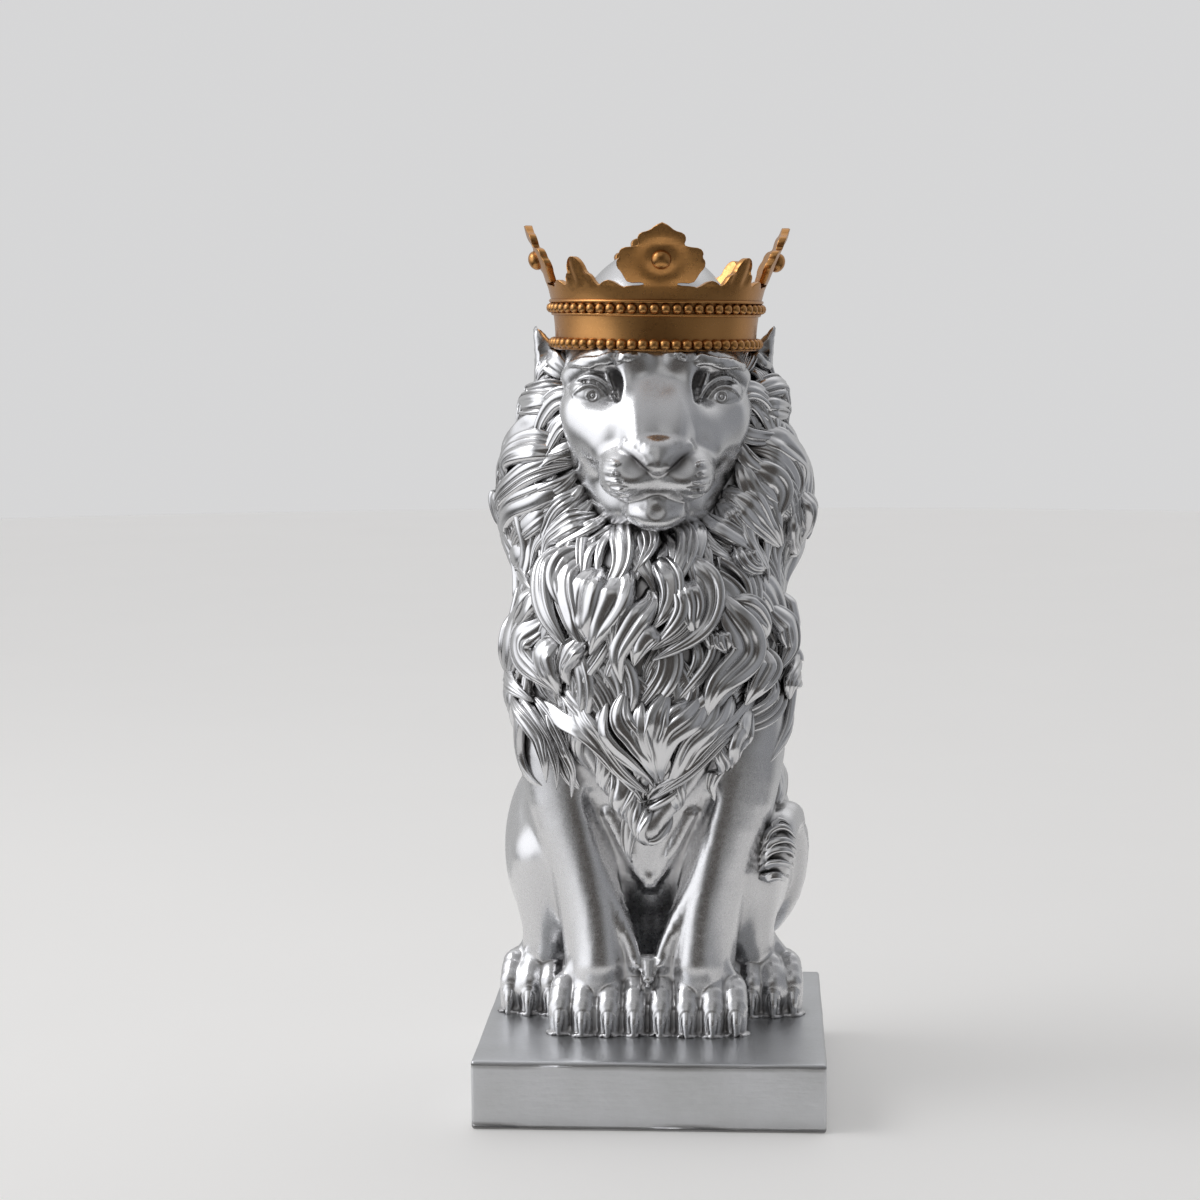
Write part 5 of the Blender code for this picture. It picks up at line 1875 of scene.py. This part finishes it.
@dataclass
class Crown:
    """An open ring with beads, four large leaves with bosses and four small leaves."""

    pose: Pose = POSE
    band_height: float = 25.5
    rim_radius: float = 44.8
    wall: float = 3.0
    leaf_length: float = 26.7
    lean_at_rim: float = 29.0
    lean_at_tip: float = 13.0
    columns: int = 176
    edge: float = 0.75
    beads: int = 60
    bead_rows: tuple = ((2.5, 2.35, 0.7), (16.7, 2.15, 0.5))
    rings: tuple = ((0.35, 0.3, 0.55), (14.3, 0.2, 0.75), (19.5, 0.2, 0.75))
    boss_radius: float = 4.0
    boss_height: float = 11.5
    boss_lean: float = 22.0
    large_leaf: tuple = (
        (15.4, -0.6), (13.4, 0.2), (6.8, 0.5), (6.8, 1.6), (13.0, 1.3), (14.4, 4.2), (15.0, 6.0), (16.6, 8.2),
        (16.4, 11.0), (15.0, 12.6), (15.2, 14.6), (13.6, 16.5), (9.6, 16.9), (7.7, 17.6), (8.4, 20.2),
        (7.4, 22.4), (4.2, 23.4), (2.0, 25.6), (0.0, 26.7),
    )
    small_leaf: tuple = (
        (14.8, 3.0), (11.5, 1.9), (9.4, 0.2), (7.6, 1.6), (6.4, 5.0), (4.2, 6.2), (3.6, 9.6), (1.9, 12.2),
        (0.0, 13.0),
    )

    def wall_point(self, along: float, up: float, depth: float) -> Vector:
        """A point of the wall. The band has a waist, and the leaves lean out less towards their tips.

        Args:
            along: The distance along the rim.
            up: The height up the wall from its lower edge.
            depth: How deep into the wall it lies.

        Returns:
            The point, in the crown's own frame.
        """
        at_rim, at_tip = math.radians(self.lean_at_rim), math.radians(self.lean_at_tip)
        if up <= self.band_height:
            share = up / self.band_height
            radius = 41.4 - 0.8 * share + 4.2 * share**2
            height = up
        else:
            bend = (at_rim - at_tip) / self.leaf_length
            here = at_rim - bend * (up - self.band_height)
            radius = self.rim_radius + (math.cos(here) - math.cos(at_rim)) / bend
            height = self.band_height + (math.sin(at_rim) - math.sin(here)) / bend
        angle = along / self.rim_radius - math.pi / 2
        radius -= depth
        return Vector((radius * math.cos(angle), radius * math.sin(angle), height))

    def length(self) -> float:
        """The rim's length once round."""
        return 2 * math.pi * self.rim_radius

    def outline(self) -> list[tuple[float, float]]:
        """The rim laid flat, once round: four large leaves with a small one after each.

        Returns:
            The places along and up, evenly rounded.
        """
        quarter = self.length() / 4
        rough: list[tuple[float, float]] = []
        for index in range(4):
            large = index * quarter
            small = large + quarter / 2
            rough += [(large + x, y) for x, y in reversed(self.large_leaf)]
            rough += [(small - x, y) for x, y in self.small_leaf]
            rough += [(small + x, y) for x, y in reversed(self.small_leaf[:-1])]
            rough += [(large + quarter - x, y) for x, y in self.large_leaf[:-1]]
        return [(x, self.band_height + y) for x, y in rough]

    def rounded(self, outline: list[tuple[float, float]]) -> list[tuple[float, float]]:
        """Cuts each corner of the rim, so that its lobes look cast.

        Args:
            outline: The rim's corners.

        Returns:
            The rim with each corner replaced by two.
        """
        result = [outline[0]]
        for start, end in zip(outline, outline[1:]):
            result.append((0.75 * start[0] + 0.25 * end[0], 0.75 * start[1] + 0.25 * end[1]))
            result.append((0.25 * start[0] + 0.75 * end[0], 0.25 * start[1] + 0.75 * end[1]))
        result.append(outline[-1])
        return result

    def wall_mesh(self) -> bmesh.types.BMesh:
        """The wall with its leaves: cut flat, thickened, rounded at its edges, and bent.

        Returns:
            The wall, in the crown's own frame.
        """
        bm = bmesh.new()
        length = self.length()
        top = self.rounded(self.outline() + [(length, self.band_height + self.leaf_length)])
        corners = [(0.0, 0.0)] + top + [(length, 0.0)]
        bm.faces.new([bm.verts.new((x, 0.0, y)) for x, y in corners])
        extruded = bmesh.ops.extrude_face_region(bm, geom=bm.faces[:])["geom"]
        moved = [item for item in extruded if isinstance(item, bmesh.types.BMVert)]
        bmesh.ops.translate(bm, vec=(0, self.wall, 0), verts=moved)
        bmesh.ops.recalc_face_normals(bm, faces=bm.faces)
        sharp = [e for e in bm.edges if len(e.link_faces) == 2 and e.calc_face_angle() > 0.5]
        rims = [
            e for e in sharp
            if abs(e.verts[0].co.y - e.verts[1].co.y) < 0.01
            and max(min(v.co.x, length - v.co.x) for v in e.verts) > 0.05
        ]
        bmesh.ops.bevel(
            bm, geom=rims, offset=self.edge, segments=3, profile=0.5, affect="EDGES", material=-1,
            clamp_overlap=True,
        )
        planes = [((length * index / self.columns, 0, 0), (1, 0, 0)) for index in range(1, self.columns)]
        heights = [3.5 * step for step in range(1, 8)] + [24.5 + 1.6 * step for step in range(1, 17)]
        planes += [((0, 0, height), (0, 0, 1)) for height in heights]
        for point, normal in planes:
            everything = bm.verts[:] + bm.edges[:] + bm.faces[:]
            bmesh.ops.bisect_plane(bm, geom=everything, dist=0.005, plane_co=point, plane_no=normal)
        ends = [f for f in bm.faces if all(min(v.co.x, length - v.co.x) < 0.01 for v in f.verts)]
        bmesh.ops.delete(bm, geom=ends, context="FACES")
        bmesh.ops.triangulate(bm, faces=[f for f in bm.faces if len(f.verts) > 4])
        self.emboss(bm)
        for vert in bm.verts:
            vert.co = self.wall_point(vert.co.x, vert.co.z, vert.co.y)
        bmesh.ops.remove_doubles(bm, verts=bm.verts, dist=0.005)
        bmesh.ops.recalc_face_normals(bm, faces=bm.faces)
        return bm

    def emboss(self, bm: bmesh.types.BMesh) -> None:
        """Dishes the leaves' faces round their bosses, with a vein from each boss to its leaf's tip.

        Args:
            bm: The flat wall.
        """
        quarter = self.length() / 4
        for vert in bm.verts:
            up = vert.co.z - self.band_height
            if vert.co.y > 0.01 or up < 0:
                continue
            off = vert.co.x - quarter * round(vert.co.x / quarter)
            if abs(off) < 17:
                far = math.hypot(off, up - self.boss_height)
                dish = 0.8 * math.exp(-(((far - 6.2) / 2.4) ** 2))
                vein = 0.5 * math.exp(-((off / 1.5) ** 2)) * smooth_step(16.5, 19.5, up)
                vert.co.y += dish - vein
            else:
                small = abs(abs(off) - quarter / 2)
                vert.co.y += 0.7 * math.exp(-(((small - 3.0) / 1.4) ** 2)) * smooth_step(0.5, 2.5, up)

    def ring(self, height: float, out: float, radius: float) -> bmesh.types.BMesh:
        """A thin raised ring round the band.

        Args:
            height: Its height up the band.
            out: How far its middle stands from the band's face.
            radius: Its own radius.

        Returns:
            The ring, in the crown's own frame.
        """
        bm = bmesh.new()
        start = self.wall_point(0.0, height, -out)
        bmesh.ops.create_circle(
            bm, segments=8, radius=radius,
            matrix=Matrix.Translation(start) @ Matrix.Rotation(math.pi / 2, 4, "Y"),
        )
        bmesh.ops.spin(
            bm, geom=bm.edges[:], cent=(0, 0, 0), axis=(0, 0, 1), angle=2 * math.pi, steps=120,
            use_merge=True, use_duplicate=False,
        )
        bmesh.ops.remove_doubles(bm, verts=bm.verts, dist=0.001)
        bmesh.ops.recalc_face_normals(bm, faces=bm.faces)
        return bm

    def add_beads(self, bm: bmesh.types.BMesh, height: float, radius: float, out: float) -> None:
        """Adds one row of beads.

        Args:
            bm: The mesh that takes them.
            height: The row's height up the band.
            radius: A bead's radius.
            out: How far its middle stands from the band's face.
        """
        pitch = self.length() / self.beads
        for index in range(self.beads):
            place = Matrix.Translation(self.wall_point(pitch * (index + 0.5), height, -out))
            bmesh.ops.create_icosphere(bm, subdivisions=2, radius=radius, matrix=place)

    def add_bosses(self, bm: bmesh.types.BMesh) -> None:
        """Adds the domed boss in the middle of each large leaf.

        Args:
            bm: The mesh that takes them.
        """
        quarter = self.length() / 4
        for index in range(4):
            centre = self.wall_point(index * quarter, self.band_height + self.boss_height, 0.2)
            turn = Matrix.Rotation(index * math.pi / 2 - math.pi / 2, 4, "Z")
            turn = turn @ Matrix.Rotation(math.radians(self.boss_lean), 4, "Y")
            place = Matrix.Translation(centre) @ turn @ Matrix.Diagonal((0.8, 1.0, 1.0, 1.0))
            bmesh.ops.create_uvsphere(bm, u_segments=24, v_segments=14, radius=self.boss_radius, matrix=place)

    def build(self, finish: LeafFinish) -> None:
        """Makes the crown.

        Args:
            finish: Its finish.
        """
        material = finish.material()
        place = self.pose.crown()
        wall = self.wall_mesh()
        self.add_bosses(wall)
        wall.transform(place)
        finish_piece("crown_wall", wall, material, "crown", None, 40)
        beads = bmesh.new()
        for row in self.bead_rows:
            self.add_beads(beads, *row)
        for height, out, radius in self.rings:
            ring = self.ring(height, out, radius)
            mesh = bpy.data.meshes.new("ring")
            ring.to_mesh(mesh)
            ring.free()
            beads.from_mesh(mesh)
            bpy.data.meshes.remove(mesh)
        beads.transform(place)
        finish_piece("crown_beads", beads, material, "crown")


# The studio


@dataclass
class Studio:
    """Camera, floor, backdrop and lights."""

    lens: float = 80.04
    location: Point = (44.25, -1094.62, 322.88)
    yaw: float = 3.484
    pitch: float = 6.271
    roll: float = 0.326
    floor_colour: Point = (0.80, 0.79, 0.775)
    floor_glow: float = 0.20
    wall_colour: Point = (0.675, 0.675, 0.68)
    backdrop_radius: float = 3200.0
    table_radius: float = 370.0
    room: Point = (0.08, 0.08, 0.08)
    glows: tuple = (
        ((-0.90, -0.22, 0.30), 48.0, 14.0, (1.25, 1.26, 1.30)),
        ((0.95, -0.15, 0.22), 48.0, 15.0, (0.20, 0.205, 0.22)),
        ((0.0, 0.25, 1.0), 60.0, 20.0, (0.42, 0.42, 0.43)),
        ((-0.12, -0.80, 0.62), 24.0, 10.0, (0.30, 0.30, 0.30)),
        ((0.0, -1.0, 0.1), 80.0, 30.0, (0.10, 0.10, 0.10)),
        ((0.0, 1.0, 0.1), 88.0, 55.0, (0.42, 0.42, 0.42)),
    )
    shades: tuple = (
        ((0.04, -1.0, 0.02), 34.0, 12.0, (0.42, 0.38, 0.35)),
    )

    def camera(self) -> None:
        """Sets the camera where the photograph was taken from."""
        yaw, pitch, roll = (math.radians(a) for a in (self.yaw, self.pitch, self.roll))
        level = Vector((math.cos(yaw), math.sin(yaw), 0.0))
        forward = Vector((-math.sin(yaw), math.cos(yaw), 0.0)) * math.cos(pitch)
        forward.z = -math.sin(pitch)
        above = level.cross(forward)
        right = level * math.cos(roll) - above * math.sin(roll)
        up = level * math.sin(roll) + above * math.cos(roll)
        data = bpy.data.cameras.new("camera")
        data.lens = self.lens
        data.sensor_width = 36.0
        data.clip_end = 50.0
        camera = bpy.data.objects.new("camera", data)
        turn = Matrix((right, up, -forward)).transposed().to_4x4()
        camera.matrix_world = Matrix.Translation(Vector(self.location) * MM) @ turn
        bpy.context.scene.collection.objects.link(camera)
        bpy.context.scene.camera = camera

    def floor(self) -> None:
        """Lays a wide pale floor. Its far part isn't mirrored in the lion, like a table that ends near it."""
        sheet = NodeSheet(bpy.data.materials.new("floor_paint"))
        light, dark = (*self.floor_colour, 1.0), (*(0.985 * c for c in self.floor_colour), 1.0)
        colour = sheet.mix(sheet.remap(sheet.noise(6.0, 4.0), 0.3, 0.7, 0.0, 1.0), light, dark)
        sheet.feed_shader({
            "Base Color": colour, "Roughness": 0.7,
            "Emission Color": light, "Emission Strength": self.floor_glow,
        })
        parts = (("floor", None, self.table_radius), ("far_floor", self.table_radius, self.backdrop_radius))
        for name, near, far in parts:
            bm = bmesh.new()
            bmesh.ops.create_circle(bm, cap_ends=near is None, segments=96, radius=(near or far) * MM)
            if near is not None:
                edges = bmesh.ops.extrude_edge_only(bm, edges=bm.edges[:])["geom"]
                rim = [item for item in edges if isinstance(item, bmesh.types.BMVert)]
                bmesh.ops.scale(bm, vec=(far / near, far / near, 1.0), verts=rim)
                bmesh.ops.recalc_face_normals(bm, faces=bm.faces)
                if bm.faces[:][0].normal.z < 0:
                    bmesh.ops.reverse_faces(bm, faces=bm.faces)
            floor = placed(name, bm, sheet.owner)
            floor.visible_glossy = near is None

    def backdrop(self) -> None:
        """Stands a plain pale wall far round the floor, which only the camera sees."""
        bm = bmesh.new()
        radius = self.backdrop_radius * MM
        bmesh.ops.create_cone(
            bm, cap_ends=False, segments=96, radius1=radius, radius2=radius, depth=6.0,
            matrix=Matrix.Translation((0, 0, 2.9)),
        )
        bmesh.ops.reverse_faces(bm, faces=bm.faces)
        paint = NodeSheet(bpy.data.materials.new("backdrop_paint"))
        paint.tree.nodes.clear()
        glow = paint.add("ShaderNodeEmission", {"Color": (*self.wall_colour, 1.0), "Strength": 1.0})
        paint.add("ShaderNodeOutputMaterial", {"Surface": glow.outputs["Emission"]})
        wall = placed("backdrop", bm, paint.owner)
        for ray in ("diffuse", "glossy", "shadow", "transmission"):
            setattr(wall, "visible_" + ray, False)

    def light(
        self, name: str, place: Point, size: tuple[float, float], watts: float, target: Point = (0, 0, 0.18),
    ) -> None:
        """Sets up a soft box.

        Args:
            name: Its name.
            place: Where it stands, in metres.
            size: Its width and height, in metres.
            watts: Its power.
            target: What it points at.
        """
        data = bpy.data.lights.new(name, "AREA")
        data.shape = "RECTANGLE"
        data.size, data.size_y = size
        data.energy = watts
        light = bpy.data.objects.new(name, data)
        aim = Vector(target) - Vector(place)
        light.matrix_world = Matrix.Translation(place) @ aim.to_track_quat("-Z", "Y").to_matrix().to_4x4()
        bpy.context.scene.collection.objects.link(light)

    def patch(self, sheet: NodeSheet, way: Point, outer: float, inner: float) -> bpy.types.NodeSocket:
        """A soft round patch of the room.

        Args:
            sheet: The world's nodes.
            way: The direction that it lies in.
            outer: The angle from its middle where it ends, in degrees.
            inner: The angle where it is full, in degrees.

        Returns:
            Its strength in each direction, from 0 to 1.
        """
        direction = sheet.add("ShaderNodeTexCoord").outputs["Generated"]
        dot = sheet.vector("DOT_PRODUCT", {0: direction, 1: Vector(way).normalized()})
        limits = {"From Min": math.cos(math.radians(outer)), "From Max": math.cos(math.radians(inner))}
        inputs = {"Value": dot.outputs["Value"], **limits}
        return sheet.add("ShaderNodeMapRange", inputs, interpolation_type="SMOOTHSTEP").outputs["Result"]

    def world(self) -> None:
        """A soft grey room: a window to the left, light from above, and dark and warm round the camera."""
        world = bpy.data.worlds.new("studio")
        bpy.context.scene.world = world
        sheet = NodeSheet(world)
        total = sheet.vector("ADD", {0: self.room}).outputs["Vector"]
        for way, outer, inner, colour in self.glows:
            glow = sheet.vector("SCALE", {0: colour, "Scale": self.patch(sheet, way, outer, inner)})
            total = sheet.vector("ADD", {0: total, 1: glow.outputs["Vector"]}).outputs["Vector"]
        for way, outer, inner, colour in self.shades:
            total = sheet.mix(self.patch(sheet, way, outer, inner), total, (*colour, 1.0), "MULTIPLY")
        background = sheet.tree.nodes["Background"]
        sheet.feed(background.inputs["Color"], total)
        sheet.feed(background.inputs["Strength"], 1.0)

    def build(self) -> None:
        """Sets up the whole studio."""
        self.camera()
        self.floor()
        self.backdrop()
        self.world()
        self.light("key", (-1.0, -0.15, 1.1), (0.6, 0.6), 3.5)
        view = bpy.context.scene.view_settings
        view.view_transform = "Standard"
        view.look = "None"


def main() -> None:
    """Builds the studio and every piece in order."""
    logging.basicConfig(level=logging.INFO, format="%(message)s")
    Studio().build()
    Plinth().build(PLINTH_SILVER)
    _, tree, points = Body().build(BRUSHED_SILVER)
    Head().build(BRUSHED_SILVER)
    mane = Mane(HairFlow(), tree, POSE)
    ManeDesign(mane).build(points, POLISHED_SILVER)
    Crown().build(GOLD_WITH_PAINTED_SHADE)


if __name__ == "__main__":
    main()
